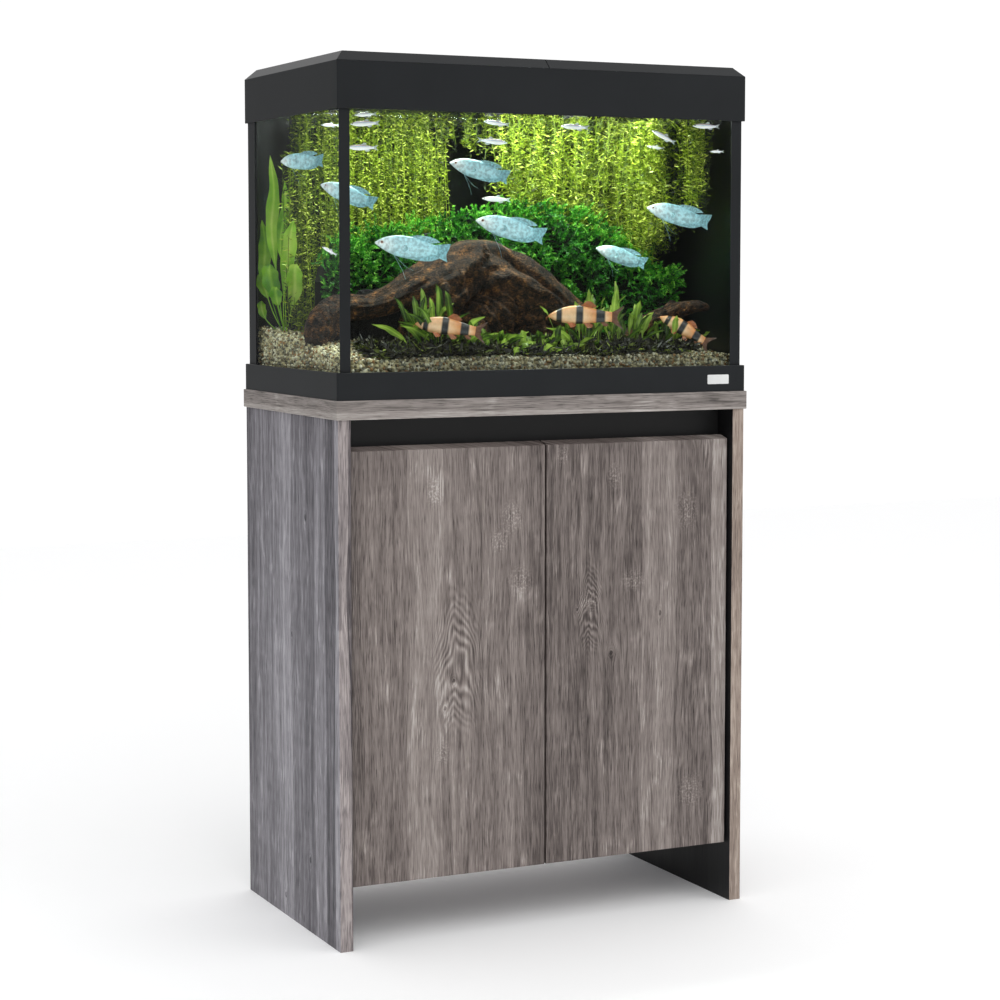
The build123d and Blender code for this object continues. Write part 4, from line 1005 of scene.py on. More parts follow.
@dataclass
class GravelBed:
    """The gravel: a packed bed under one layer of loose stones, inside the panes.

    The bed's height rises from front to back with low heaps: front + (back - front) * share of the depth
    + two crossed waves.
    """

    half_length: float = 293.5
    half_width: float = 163.5
    floor: float = 743.6
    front: float = 775.0
    back: float = 814.0
    inset: float = 3.5
    columns: int = 90
    rows: int = 50
    stone: float = 5.0
    top_stray: float = 1.8
    wall_stray: float = 1.6
    seed: int = 5

    def height(self, x: np.ndarray, y: np.ndarray) -> np.ndarray:
        """Height of the bed at x and y.

        Args:
            x: places across the tank.
            y: places from front to back.

        Returns:
            Heights in millimetres.
        """
        share = np.clip((y + self.half_width) / (2 * self.half_width), 0, 1)
        heaps = 2.2 * np.sin(x / 43 + 1.0) * np.cos(y / 37) + 1.2 * np.sin(x / 17 + y / 21)
        return self.front + (self.back - self.front) * share + heaps

    def build(self) -> None:
        """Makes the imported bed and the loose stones."""
        bed = Piece("gravel_packed", "cabinet", "gravel",
                    (RiverGravel("packed_river_gravel", packed=True),), replaces=("gravel_bed",),
                    merge=True)
        across = np.linspace(-1, 1, self.columns) * (self.half_length - self.inset)
        deep = np.linspace(-1, 1, self.rows) * (self.half_width - self.inset)
        gx, gy = np.meshgrid(across, deep)
        top = np.stack([gx, gy, self.height(gx, gy) - 2.0], -1)
        foot = top.copy()
        foot[..., 2] = self.floor
        bed.put(top, grid_faces(len(deep), len(across)))
        bed.put(foot, grid_faces(len(deep), len(across))[:, ::-1])
        for edge in (np.s_[0, :], np.s_[-1, :], np.s_[:, 0], np.s_[:, -1]):
            wall = np.stack([top[edge], foot[edge]])
            bed.put(wall, grid_faces(2, wall.shape[1]))
        bed.build()
        self.build_stones()

    def build_stones(self) -> None:
        """Strews stones: each an icosahedron pushed in and out, flattened and turned at random."""
        rng = np.random.default_rng(self.seed)
        golden = (1 + math.sqrt(5)) / 2
        corners = unit(np.array([(-1, golden, 0), (1, golden, 0), (-1, -golden, 0), (1, -golden, 0),
                                 (0, -1, golden), (0, 1, golden), (0, -1, -golden), (0, 1, -golden),
                                 (golden, 0, -1), (golden, 0, 1), (-golden, 0, -1), (-golden, 0, 1)], float))
        faces = np.array([(0, 11, 5), (0, 5, 1), (0, 1, 7), (0, 7, 10), (0, 10, 11), (1, 5, 9), (5, 11, 4),
                          (11, 10, 2), (10, 7, 6), (7, 1, 8), (3, 9, 4), (3, 4, 2), (3, 2, 6), (3, 6, 8),
                          (3, 8, 9), (4, 9, 5), (2, 4, 11), (6, 2, 10), (8, 6, 7), (9, 8, 1)])
        edge = self.stone * 0.62
        step = self.stone * 1.13
        x = np.arange(-self.half_length + edge, self.half_length - edge, step)
        y = np.arange(-self.half_width + edge, self.half_width - edge, step)
        gx, gy = (g.ravel() for g in np.meshgrid(x, y))
        gx = np.clip(gx + rng.uniform(-self.top_stray, self.top_stray, gx.shape), x[0], x[-1])
        gy = np.clip(gy + rng.uniform(-self.top_stray, self.top_stray, gy.shape), y[0], y[-1])
        top = np.stack([gx, gy, self.height(gx, gy) - rng.uniform(0.5, 3.0, gx.shape)], -1)
        z = np.arange(self.floor + edge, self.front + 34, step * 0.9)
        walls = []
        for places, front_wall in ((x, True), (y, False)):
            for sign in (-1, 1):
                along, up = (g.ravel() for g in np.meshgrid(places, z))
                along = along + rng.uniform(-self.wall_stray, self.wall_stray, along.shape)
                along = np.clip(along, places[0], places[-1])
                up = up + rng.uniform(-self.wall_stray, self.wall_stray, up.shape)
                up = np.maximum(up, self.floor + edge)
                if front_wall:
                    wall = np.stack([along, np.full_like(along, sign * (self.half_width - edge)), up], -1)
                else:
                    wall = np.stack([np.full_like(along, sign * (self.half_length - edge)), along, up], -1)
                walls.append(wall[wall[:, 2] < self.height(wall[:, 0], wall[:, 1]) - 1])
        places = np.concatenate([top] + walls)
        count = len(places)
        turns = rng.normal(size=(count, 4))
        w, i, j, k = (turns / np.linalg.norm(turns, axis=1, keepdims=True)).T
        rotate = np.stack([
            np.stack([1 - 2 * (j * j + k * k), 2 * (i * j - k * w), 2 * (i * k + j * w)], -1),
            np.stack([2 * (i * j + k * w), 1 - 2 * (i * i + k * k), 2 * (j * k - i * w)], -1),
            np.stack([2 * (i * k - j * w), 2 * (j * k + i * w), 1 - 2 * (i * i + j * j)], -1)], -2)
        size = self.stone / 2 * rng.uniform(0.62, 1.2, (count, 1, 1))
        radii = size * rng.uniform(0.72, 1.12, (count, 1, 3))
        dents = rng.uniform(0.85, 1.08, (count, len(corners), 1))
        stones = np.einsum("nij,nvj->nvi", rotate, corners[None] * radii * dents) + places[:, None]
        limit = np.array([self.half_length, self.half_width])
        stones[..., :2] = np.clip(stones[..., :2], -limit, limit)
        stones[..., 2] = np.maximum(stones[..., 2], self.floor)
        piece = Piece("gravel_stones", "cabinet", "gravel", (RiverGravel("river_gravel_stone"),))
        all_faces = (faces[None] + (np.arange(count) * len(corners))[:, None, None]).reshape(-1, 3)
        piece.put(stones, all_faces, tone=np.repeat(rng.uniform(0, 1, count), len(corners)))
        piece.build()


@dataclass
class BogWoodLog:
    """The arched log with a cave under it, and a thinner root at the right.

    Each limb is a tube whose radius is its own times 1 + ridges that run along it + lumps, and whose ends
    draw in to a pole.
    """

    seed: int = 21
    rings: int = 120
    sides: int = 72
    ridges: tuple[int, ...] = (3, 5, 8, 13, 19)
    ridge_height: float = 0.16

    def limb(self, piece: Piece, path: Sequence, radii: Sequence, flat: float, seed: int,
             low: float = 1.0) -> None:
        """Adds one limb.

        Args:
            piece: the piece that it goes into.
            path: points along its middle.
            radii: a radius at each of them.
            flat: how much thinner it is from front to back.
            seed: seed of its ridges.
            low: how much lower than round it is.
        """
        rng = np.random.default_rng(seed)
        share = np.linspace(0, 1, self.rings)
        line = smooth(path, share)
        swell = smooth(np.asarray(radii, float)[:, None], share)[:, 0]
        swell = swell * np.sqrt(np.clip(1 - np.abs(2 * share - 1) ** 14, 0, 1))
        angle = np.arange(self.sides) * 2 * math.pi / self.sides
        ridges = np.zeros((self.rings, self.sides))
        for count in self.ridges:
            lean, phase, wave = rng.uniform(-3, 3), rng.uniform(*ANY_PHASE), rng.uniform(*ANY_PHASE)
            ridges += (np.sin(count * angle[None] + lean * share[:, None] * 4 + phase)
                       * (0.75 + 0.5 * np.sin(share[:, None] * 11 + wave))
                       * self.ridge_height / count ** 0.62)
        lumps = 0.05 * np.sin(share[:, None] * 37 + 3 * np.sin(angle * 2)[None] + seed)
        lumps = lumps + 0.03 * np.sin(share[:, None] * 83 + 4 * np.sin(angle * 3 + 1)[None] + seed)
        shape = tubes(line[None], (swell[:, None] * (1 + ridges + lumps))[None], self.sides)
        middle = line[None, :, None]
        shape[..., 1] = middle[..., 1] + (shape[..., 1] - middle[..., 1]) * flat
        shape[..., 2] = middle[..., 2] + (shape[..., 2] - middle[..., 2]) * low
        piece.put(shape, grid_faces(self.rings, self.sides, wrap=True))

    def build(self) -> None:
        """Makes the log, the near-black painted shadow in and before its cave, and the root."""
        log_piece = Piece("bog_wood_log", "cabinet", "driftwood", (BogWood("waterlogged_bog_wood"),),
                          replaces=("driftwood",), merge=True)
        limbs = (
            (((-262, -8, 786), (-262, -10, 812), (-236, -8, 838), (-185, -4, 842), (-128, 0, 862),
              (-66, 4, 884), (-18, 6, 892), (30, 2, 868), (82, -4, 838), (130, -10, 808), (160, -14, 788)),
             (20, 24, 20, 16, 24, 36, 42, 42, 36, 27, 16), 0.95),
            (((-118, -4, 776), (-112, -2, 812), (-84, 0, 846), (-46, 4, 878), (-20, 8, 906)),
             (30, 34, 38, 36, 18), 0.9),
            (((-40, -8, 776), (-24, -6, 806), (-4, -4, 840), (4, 0, 880)), (38, 42, 42, 28), 0.85),
            (((60, -4, 778), (56, -4, 800), (40, -2, 830), (20, 0, 862)), (36, 38, 36, 24), 0.85),
            (((-34, -14, 892), (-26, -16, 914), (-22, -14, 930)), (16, 13, 6), 1.0),
            (((-275, -24, 782), (-276, -26, 800), (-268, -24, 828), (-248, -20, 846)), (10, 15, 14, 8), 1.0),
        )
        for number, (path, radii, flat) in enumerate(limbs):
            self.limb(log_piece, path, radii, flat, self.seed + number)
        log_piece.build()
        # painted shadow: a near-black limb fills the cave under the arch, and a flat near-black lump lies on
        # the gravel before it, where only shade falls
        cave_shadow = Piece("bog_wood_cave_shadow", "cabinet", "driftwood",
                       (BogWood("painted_cave_shadow_black", browns=("#010101", "#030302", "#060504")),),
                       merge=True)
        self.limb(cave_shadow, ((-236, 14, 776), (-228, 16, 812), (-190, 16, 822), (-150, 16, 824),
                           (-116, 14, 776)),
                  (24, 30, 34, 34, 26), 0.5, self.seed + 30)
        self.limb(cave_shadow, ((-232, -70, 774), (-190, -76, 772), (-150, -72, 772), (-112, -64, 774)),
                  (26, 44, 44, 26), 1.0, self.seed + 31, low=0.2)
        cave_shadow.build()
        root = Piece("bog_wood_root", "cabinet", "driftwood", (BogWood("waterlogged_bog_wood"),),
                     replaces=("side_root",), merge=True)
        self.limb(root, ((176, -60, 792), (205, -78, 816), (240, -92, 834), (268, -104, 840),
                         (286, -112, 838)),
                  (9, 12, 11, 8, 5), 1.0, self.seed + 20)
        self.limb(root, ((228, -86, 828), (246, -70, 842), (262, -56, 846)), (7, 5, 2), 1.0, self.seed + 21)
        root.build()


# ---------------------------------------------------------------- planting


@dataclass(frozen=True)
class Curtain:
    """One curtain of fine stems: its place and how densely and loosely it hangs, in millimetres."""

    left: float
    right: float
    near: float
    far: float
    top: float
    foot: tuple[float, ...]
    stems: int
    sway: float
    side_on: bool = False
    leaf_size: float = 1.0


@dataclass
class StemCurtains:
    """Curtains of fine-leaved stems at the back and down the right pane.

    A stem's point = its foot to its top + sway * three sines of its height. Whorls of small leaves sit
    every node along it, each leaf a diamond that leans up or down at random.
    """

    curtains: tuple[Curtain, ...] = (
        Curtain(-250, -14, 106, 150, 1112, (800, 830, 880, 905, 930, 955), 290, 2.6, leaf_size=0.72),
        Curtain(-20, 74, 100, 128, 1112, (1082, 1072, 1062), 60, 7.0),
        Curtain(52, 232, 66, 102, 1112, (1010, 950, 925, 905, 890), 250, 11.0),
        Curtain(-40, 100, 236, 288, 1104, (950, 925, 890, 895), 240, 11.0, side_on=True),
        Curtain(-110, -76, 262, 288, 1104, (1000, 990, 994), 46, 6.0, side_on=True),
    )
    strands: tuple[Curtain, ...] = (
        Curtain(-272, -260, 90, 110, 1052, (820, 830), 6, 3.0),
    )
    node: float = 5.4
    leaf: tuple[float, float] = (6.0, 12.0)
    leaf_width: tuple[float, float] = (0.75, 1.25)
    stem_radius: float = 0.45
    ground: float = 800.0
    waves: tuple[float, ...] = (34.0, 61.0, 140.0)
    wave_shares: tuple[float, ...] = (0.5, 0.9, 1.3)
    stem_room: tuple[tuple[float, float], ...] = ((-289, 287), (-150, 158))
    leaf_room: tuple[tuple[float, float], ...] = ((-292, 290), (-158, 161))
    seed: int = 33

    def build(self) -> None:
        """Makes one piece for each curtain."""
        skin = Foliage("fine_stem_leaf", greens=("#080C04", "#2E400C", "#6E881A", "#AEC62C", "#DCE668"))
        for number, curtain in enumerate(self.curtains + self.strands):
            rng = np.random.default_rng(self.seed + number)
            piece = Piece(f"stem_curtain_{number + 1}", "cabinet", "leaves", (skin,), soft_shaded=False,
                          replaces=("back_plants",) if number == 0 else ())
            self.fill(piece, curtain, rng)
            piece.build()

    def fill(self, piece: Piece, curtain: Curtain, rng: np.random.Generator) -> None:
        """Adds a curtain's stems and leaves.

        Args:
            piece: the piece that they go into.
            curtain: the curtain's place and density.
            rng: source of its variation.
        """
        count = curtain.stems
        wide = rng.uniform(curtain.left, curtain.right, count)
        deep = curtain.near + (curtain.far - curtain.near) * rng.beta(1.0, 1.6, count)
        share = (wide - curtain.left) / (curtain.right - curtain.left)
        foot = smooth(np.array(curtain.foot, float)[:, None], share)[:, 0] + rng.normal(0, 9, count)
        foot = np.clip(foot, self.ground, curtain.top - 30)
        top = np.where(rng.uniform(size=count) < 0.75, curtain.top, curtain.top - rng.uniform(0, 70, count))
        top = np.maximum(top, foot + 25)
        steps = int((curtain.top - foot.min()) / self.node)
        height = foot[:, None] + (top - foot)[:, None] * np.linspace(0, 1, steps)[None]
        phases = rng.uniform(0, 2 * math.pi, (2, 3, count, 1))
        drift = [sum(part * np.sin(height / wave + phase)
                     for wave, part, phase in zip(self.waves, self.wave_shares, way)) for way in phases]
        xs = wide[:, None] + curtain.sway * drift[0]
        ys = deep[:, None] + curtain.sway * 0.6 * drift[1]
        paths = np.stack([ys, xs, height] if curtain.side_on else [xs, ys, height], -1)
        keep_within(paths, self.stem_room)
        every = slice(None, None, 3)
        stems = tubes(paths[:, every], np.full(paths[:, every].shape[:2], self.stem_radius), 3)
        # painted shade: stems deeper in the curtain, towards the wall behind it, get a darker green; the rest
        # of their tone is random
        depth_shade = np.clip(1 - (deep - curtain.near) / (curtain.far - curtain.near), 0, 1)
        tone_and_depth_shade = rng.normal(0.5, 0.12, count) + 0.45 * (depth_shade - 0.55)
        stem_tone = np.repeat(tone_and_depth_shade * 0.8, stems.shape[1] * stems.shape[2])
        piece.put(stems, grid_faces(stems.shape[1], 3, wrap=True, copies=count), tone=stem_tone)
        self.leaf_out(piece, paths, tone_and_depth_shade, top - foot, curtain.leaf_size, rng)

    def leaf_out(self, piece: Piece, paths: np.ndarray, tone_and_depth_shade: np.ndarray, tall: np.ndarray,
                 leaf_size: float, rng: np.random.Generator) -> None:
        """Sets leaves along stems.

        Args:
            piece: the piece that they go into.
            paths: points along each stem.
            tone_and_depth_shade: tone of each stem's leaves, random with painted shade that darkens stems
                deeper in the curtain.
            tall: length of each stem, which decides how many of its points bear leaves.
            leaf_size: how long the leaves are beside the usual length.
            rng: source of their variation.
        """
        leafy = np.clip(tall[:, None] / (paths.shape[1] * self.node), 0.2, 1)
        for turn in range(2):
            keep = rng.uniform(size=paths.shape[:2]) < leafy
            base = paths[keep]
            count = len(base)
            angle = rng.uniform(0, 2 * math.pi, count) + turn * math.pi
            lift = rng.uniform(-0.5, 0.9, count)
            run = unit(np.stack([np.cos(angle), np.sin(angle) * 0.7, lift], -1))
            side = rng.normal(size=(count, 3)) + np.array([0.0, 0.0, 0.6])
            length = rng.uniform(*self.leaf, count) * leaf_size
            width = rng.uniform(*self.leaf_width, count)
            tone = np.broadcast_to(tone_and_depth_shade[:, None], keep.shape)[keep] + rng.normal(0, 0.26, count)
            leaflets = diamonds(base, run, side, length, width)
            keep_within(leaflets, self.leaf_room)
            piece.put_leaflets(leaflets, tone)


@dataclass
class MossMound:
    """The deep green moss on and behind the log: a lumpy dark core under feathery sprigs.

    The core's front is y = near - bulge * sqrt(1 - (distance from its middle)^2) with lumps, and right of
    turn it also curves forward along the side pane; each sprig is a bent stem with pairs of small blades.
    """

    outline: tuple[tuple[float, float], ...] = (
        (-244, 862), (-232, 918), (-205, 944), (-150, 952), (-64, 968), (0, 978), (62, 990), (130, 986),
        (178, 976), (215, 955), (240, 925), (262, 905), (286, 880))
    bottom: float = 794.0
    near: float = 60.0
    bulge: float = 34.0
    turn: float = 170.0
    forward: float = 78.0
    columns: int = 110
    rows: int = 60
    sprigs: int = 2500
    blades: int = 13
    blade_length: float = 7.0
    blade_width: float = 0.8
    stem_radius: float = 0.4
    seed: int = 44

    def top(self, x: np.ndarray) -> np.ndarray:
        """Height of the mound's upper edge at x.

        Args:
            x: places across the tank.

        Returns:
            Heights in millimetres.
        """
        corners = np.array(self.outline, float)
        return np.interp(x, corners[:, 0], corners[:, 1])

    def front(self, x: np.ndarray, z: np.ndarray) -> np.ndarray:
        """Depth of the mound's face at x and z.

        Args:
            x: places across the tank.
            z: heights.

        Returns:
            The y of the face.
        """
        middle = (self.outline[0][0] + self.outline[-1][0]) / 2
        half = (self.outline[-1][0] - self.outline[0][0]) / 2
        aside = np.clip(((x - middle) / half) ** 2, 0, 1) * 0.6
        far = aside + np.clip((z - 880) / (self.top(x) - 870), 0, 1) ** 2
        lumps = 5 * np.sin(x / 17) * np.cos(z / 14) + 4 * np.sin(x / 9 + z / 11)
        turned = self.forward * (np.clip(x - self.turn, 0, None) / (self.outline[-1][0] - self.turn)) ** 2
        return self.near - self.bulge * np.sqrt(np.clip(1 - far, 0, 1)) + lumps - turned

    def build(self) -> None:
        """Makes the core and the sprigs."""
        shaded = Foliage("shaded_moss", greens=("#030602", "#081405", "#0D2008"), glow_through=0.0,
                         roughness=0.9)
        core = Piece("moss_core", "cabinet", "leaves", (shaded,), replaces=("moss_mound",))
        x, z = np.meshgrid(np.linspace(self.outline[0][0] + 8, self.outline[-1][0] - 8, self.columns),
                           np.linspace(0, 1, self.rows))
        height = self.bottom + (self.top(x) - 24 - self.bottom) * z
        face = np.stack([x, self.front(x, height) + 12, height], -1)
        back = face.copy()
        back[..., 1] = self.near + 22
        core.put(np.concatenate([face, back[::-1]]), grid_faces(2 * self.rows, self.columns), tone=0.4)
        core.build()
        self.build_sprigs()

    def build_sprigs(self) -> None:
        """Makes the sprigs: bent stems with pairs of blades that shorten towards the tip."""
        rng = np.random.default_rng(self.seed)
        count = self.sprigs
        x = rng.uniform(self.outline[0][0] + 6, self.outline[-1][0] - 6, count)
        z = self.bottom + (self.top(x) - 4 - self.bottom) * rng.beta(1.5, 1.0, count)
        foot = np.stack([x, self.front(x, z) + 6, z], -1)
        upward = (z - self.bottom) / (self.top(x) - self.bottom)
        run = unit(np.stack([rng.normal(0, 0.75, count), rng.uniform(-1.0, -0.25, count),
                             rng.normal(0.1, 0.6, count) + 0.5 * upward ** 3], -1))
        long = rng.uniform(11, 25, count)
        hang = np.stack([rng.normal(0, 3, count), np.zeros(count), rng.normal(-2, 5, count)], -1)
        steps = np.linspace(0, 1, self.blades)
        line = (foot[:, None] + run[:, None] * (long[:, None] * steps)[..., None]
                + hang[:, None] * (steps ** 2)[None, :, None])
        # painted light: sprigs higher up the mound, nearer the lamp, take a lighter green; the normal and
        # sine terms are random tone
        shade = rng.normal(0.45, 0.14, count) + 0.28 * (upward - 0.45) + 0.14 * np.sin(x / 23 + z / 19)
        shade = np.clip(shade, 0, 1)
        skin = Foliage("feathery_moss", greens=("#050D04", "#14470B", "#2A8418", "#58B02A", "#96DC4E"),
                       glow_through=0.3, blotch=9.0)
        moss = Piece("moss_sprigs", "cabinet", "leaves", (skin,), soft_shaded=False)
        stems = tubes(line[:, ::4], np.full(line[:, ::4].shape[:2], self.stem_radius), 3,
                      upright=(0.1, 0.3, 1.0))
        moss.put(stems, grid_faces(stems.shape[1], 3, wrap=True, copies=count),
                 tone=np.repeat(shade * 0.7, stems.shape[1] * 3))
        across = unit(np.cross(run, rng.normal(size=(count, 3))))
        for sign in (-1, 1):
            base = line.reshape(-1, 3)
            splay = unit(run[:, None] * 0.9 + sign * across[:, None] * 0.8 + rng.normal(0, 0.25, line.shape))
            length = self.blade_length * (1 - 0.6 * steps) * rng.uniform(0.7, 1.3, line.shape[:2])
            leaflets = diamonds(base, splay.reshape(-1, 3), rng.normal(size=base.shape), length.ravel(),
                                np.full(len(base), self.blade_width))
            tone = shade[:, None] + 0.42 * (steps - 0.5) + rng.normal(0, 0.1, line.shape[:2])
            moss.put_leaflets(leaflets, tone.ravel())
        moss.build()


@dataclass
class BroadLeaves:
    """Plants with broad single leaves: the tall clump at the back left and the low ones at the front.

    A leaf's half width follows a lance shape, sin(pi * u ^ 0.8) ^ point, on a thin stalk; its edges wave,
    and its midrib is pale. Each tall leaf has the points of its midrib, its half width, the share that is
    bare stalk and its tone. Each low clump has its x and y, its spread and height, how far its leaves
    lean, and their number.
    """

    tall_leaves: tuple = (
        (((-268, 122, 806), (-274, 130, 880), (-278, 140, 950), (-276, 134, 1000), (-280, 138, 1052)),
         9, 0.3, 0.66),
        (((-266, 116, 806), (-270, 112, 870), (-274, 116, 930), (-270, 104, 980), (-270, 108, 1016)),
         7, 0.4, 0.56),
        (((-268, 118, 806), (-272, 110, 850), (-270, 98, 900), (-268, 90, 940), (-266, 84, 960)),
         10, 0.3, 0.72),
        (((-270, 124, 806), (-280, 136, 850), (-286, 148, 890), (-284, 150, 930), (-288, 152, 962)),
         9, 0.35, 0.5),
        (((-266, 116, 804), (-264, 102, 834), (-262, 92, 866), (-264, 86, 892), (-262, 82, 900)),
         11, 0.3, 0.76),
        (((-268, 118, 806), (-276, 118, 834), (-282, 122, 862), (-286, 128, 888), (-284, 130, 900)),
         12, 0.4, 0.46),
        (((-268, 122, 804), (-278, 134, 830), (-284, 146, 858), (-288, 152, 878), (-286, 154, 884)),
         10, 0.45, 0.6),
        (((-268, 116, 804), (-276, 108, 826), (-284, 102, 846), (-288, 98, 862), (-287, 96, 868)),
         9, 0.45, 0.5),
        (((-270, 124, 802), (-282, 140, 816), (-287, 150, 828), (-289, 154, 842), (-288, 155, 848)),
         6, 0.4, 0.62),
    )
    low_clumps: tuple = (
        (-150, -104, 30, 80, -84, 14), (-136, -100, 34, 92, 60, 12), (-96, -112, 44, 40, 50, 24),
        (-30, -112, 40, 34, 40, 18), (40, -108, 42, 38, 40, 20), (90, -100, 34, 84, -50, 12),
        (118, -92, 38, 90, 60, 16), (166, -92, 40, 60, 60, 18), (216, -108, 30, 44, 44, 12),
        (10, -128, 100, 20, 30, 34),
    )
    low_corner: tuple[float, float, float] = (-280, -158, 770)
    high_corner: tuple[float, float, float] = (284, 20, 900)
    rows: int = 26
    columns: int = 7
    fallen: int = 20000
    seed: int = 55

    def leaf(self, piece: Piece, path: Sequence, width: float, stalk: float, tone: float,
             rng: np.random.Generator, face: Sequence = (0.9, -0.43, 0.0), point: float = 0.8) -> None:
        """Adds a leaf: a sheet along a curve, with a stalk below it.

        Args:
            piece: the piece that it goes into.
            path: points along its midrib, from the ground.
            width: half width at its widest.
            stalk: share of the path that is bare stalk.
            tone: its green.
            rng: source of its waves.
            face: the direction across the leaf.
            point: how sharp the tip is.
        """
        u = np.linspace(0, 1, self.rows)
        line = smooth(path, u)
        run = unit(np.gradient(line, axis=0))
        blade = np.clip((u - stalk) / (1 - stalk), 0, 1)
        half = width * np.sin(math.pi * blade ** 0.8) ** point
        half = np.maximum(half, np.where(u < 0.97, 0.7, 0.0))
        across = unit(np.asarray(face, float) - run * (run @ np.asarray(face, float))[:, None])
        normal = np.cross(across, run)
        v = np.linspace(-1, 1, self.columns)
        phase = rng.uniform(*ANY_PHASE, 2)
        wave = np.where(v < 0, np.sin(blade * 17 + phase[0])[:, None],
                        np.sin(blade * 19 + phase[1])[:, None])
        lift = half[:, None] * (0.22 * np.abs(v) + 0.22 * v ** 2 * wave)
        spread = half[:, None] * v * (1 + 0.1 * wave)
        points = line[:, None] + across[:, None] * spread[..., None] + normal[:, None] * lift[..., None]
        rib = 0.3 * np.exp(-(v / 0.2) ** 2)
        green = tone + rib[None] + 0.12 * np.sin(blade * 9 + phase[0])[:, None] - 0.08 * (1 - blade)[:, None]
        piece.put(points, grid_faces(self.rows, self.columns), tone=np.clip(green, 0, 1).ravel())

    def litter(self, bed: GravelBed) -> None:
        """Strews dark fallen leaves and shoots over the front of the gravel.

        Args:
            bed: the gravel bed, which gives the ground's height.
        """
        rng = np.random.default_rng(self.seed + 1)
        count = self.fallen
        x = rng.uniform(-236, 262, count)
        y = -161 + 122 * rng.beta(1.25, 1.1, count)
        ragged = y > -157 + 9 * np.cos(x / 52 - 0.6) + 6 * np.sin(x / 13 + 2) + rng.normal(0, 11, count)
        patchy = ragged & (np.sin(x / 24) * np.sin(y / 15 + x / 40) + rng.normal(0, 0.35, count) > -0.45)
        keep = patchy & (y < np.where(x < -120, -60, -44)) & (x < 236 + 20 * np.sin(y / 11))
        x, y = x[keep], y[keep]
        count = len(x)
        base = np.stack([x, y, bed.height(x, y) + 13 * rng.beta(1.0, 2.4, count)], -1)
        run = unit(np.stack([rng.normal(0, 1, count), rng.normal(0, 0.7, count),
                             rng.uniform(-0.25, 0.8, count)], -1))
        leaflets = diamonds(base, run, rng.normal(size=(count, 3)), rng.uniform(6, 18, count),
                            rng.uniform(0.8, 2.6, count))
        leaflets[..., 1] = np.maximum(leaflets[..., 1], -163)
        skin = Foliage("fallen_leaf_litter", greens=("#080805", "#18170B", "#2E2C11", "#56641E", "#96A840"),
                       glow_through=0.15, roughness=0.6)
        litter = Piece("leaf_litter", "cabinet", "leaves", (skin,), soft_shaded=False)
        litter.put_leaflets(leaflets, rng.beta(1.2, 2.6, count) * 1.05)
        litter.build()

    def build(self, bed: GravelBed) -> None:
        """Makes the tall clump, the low ones and the litter.

        Args:
            bed: the gravel bed, which gives the ground's height.
        """
        self.litter(bed)
        rng = np.random.default_rng(self.seed)
        tall_skin = Foliage("broad_water_leaf", greens=("#2A4C0C", "#5C9A1C", "#98CC34", "#CDE868"),
                            glow_through=0.45, roughness=0.35, blotch=14.0)
        tall = Piece("tall_leaf_clump", "cabinet", "leaves", (tall_skin,), replaces=("tall_plant",))
        for path, width, stalk, tone in self.tall_leaves:
            self.leaf(tall, path, width, stalk, tone, rng)
        tall.build()

        low_skin = Foliage("low_water_leaf", greens=("#18280A", "#4A6A1E", "#86A63C", "#B4D05C"),
                           glow_through=0.35, roughness=0.4, blotch=8.0)
        low = Piece("front_leaf_clumps", "cabinet", "leaves", (low_skin,), replaces=("front_plants",))
        for x, y, spread, height, lean_to, count in self.low_clumps:
            for number in range(count):
                swing = rng.uniform(-0.35, 1.0)
                foot = np.array([x + rng.normal(0, 0.4) * spread, y + rng.uniform(-14, 18), 0.0])
                foot[2] = bed.height(foot[0], foot[1]) - 1
                rise = height * (1 - 0.5 * abs(swing)) * rng.uniform(0.6, 1.1)
                lean = swing * lean_to * rng.uniform(0.7, 1.2)
                toward = rng.uniform(-22, 20)
                path = [foot, foot + (lean * 0.2, toward * 0.3, rise * 0.45),
                        foot + (lean * 0.6, toward * 0.7, rise * 0.85), foot + (lean, toward, rise)]
                path = np.clip(path, self.low_corner, self.high_corner)
                self.leaf(low, path, rng.uniform(2.6, 4.6), 0.25, rng.uniform(0.1, 0.85), rng,
                          face=(0.4 * rng.normal(), -0.5, 0.9) if abs(swing) > 0.3 else (0.9, -0.43, 0.2),
                          point=1.1)
        low.build()


# ---------------------------------------------------------------- fish


@dataclass(frozen=True)
class Pose:
    """Where a fish swims: its middle and length in millimetres, its heading and its tilt in degrees."""

    x: float
    y: float
    z: float
    length: float
    heading: float = 154.0
    tilt: float = 0.0


@dataclass(frozen=True)
class Fin:
    """A fin: a thin sheet between its root and its tip, each a few points in shares of the fish's length."""

    root: tuple[tuple[float, float], ...]
    tip: tuple[tuple[float, float], ...]
    out: float = 0.0


@dataclass(frozen=True)
class Feeler:
    """A thread-like fin, as points in shares of the fish's length."""

    path: tuple[tuple[float, float, float], ...]
    radius: float = 0.0025


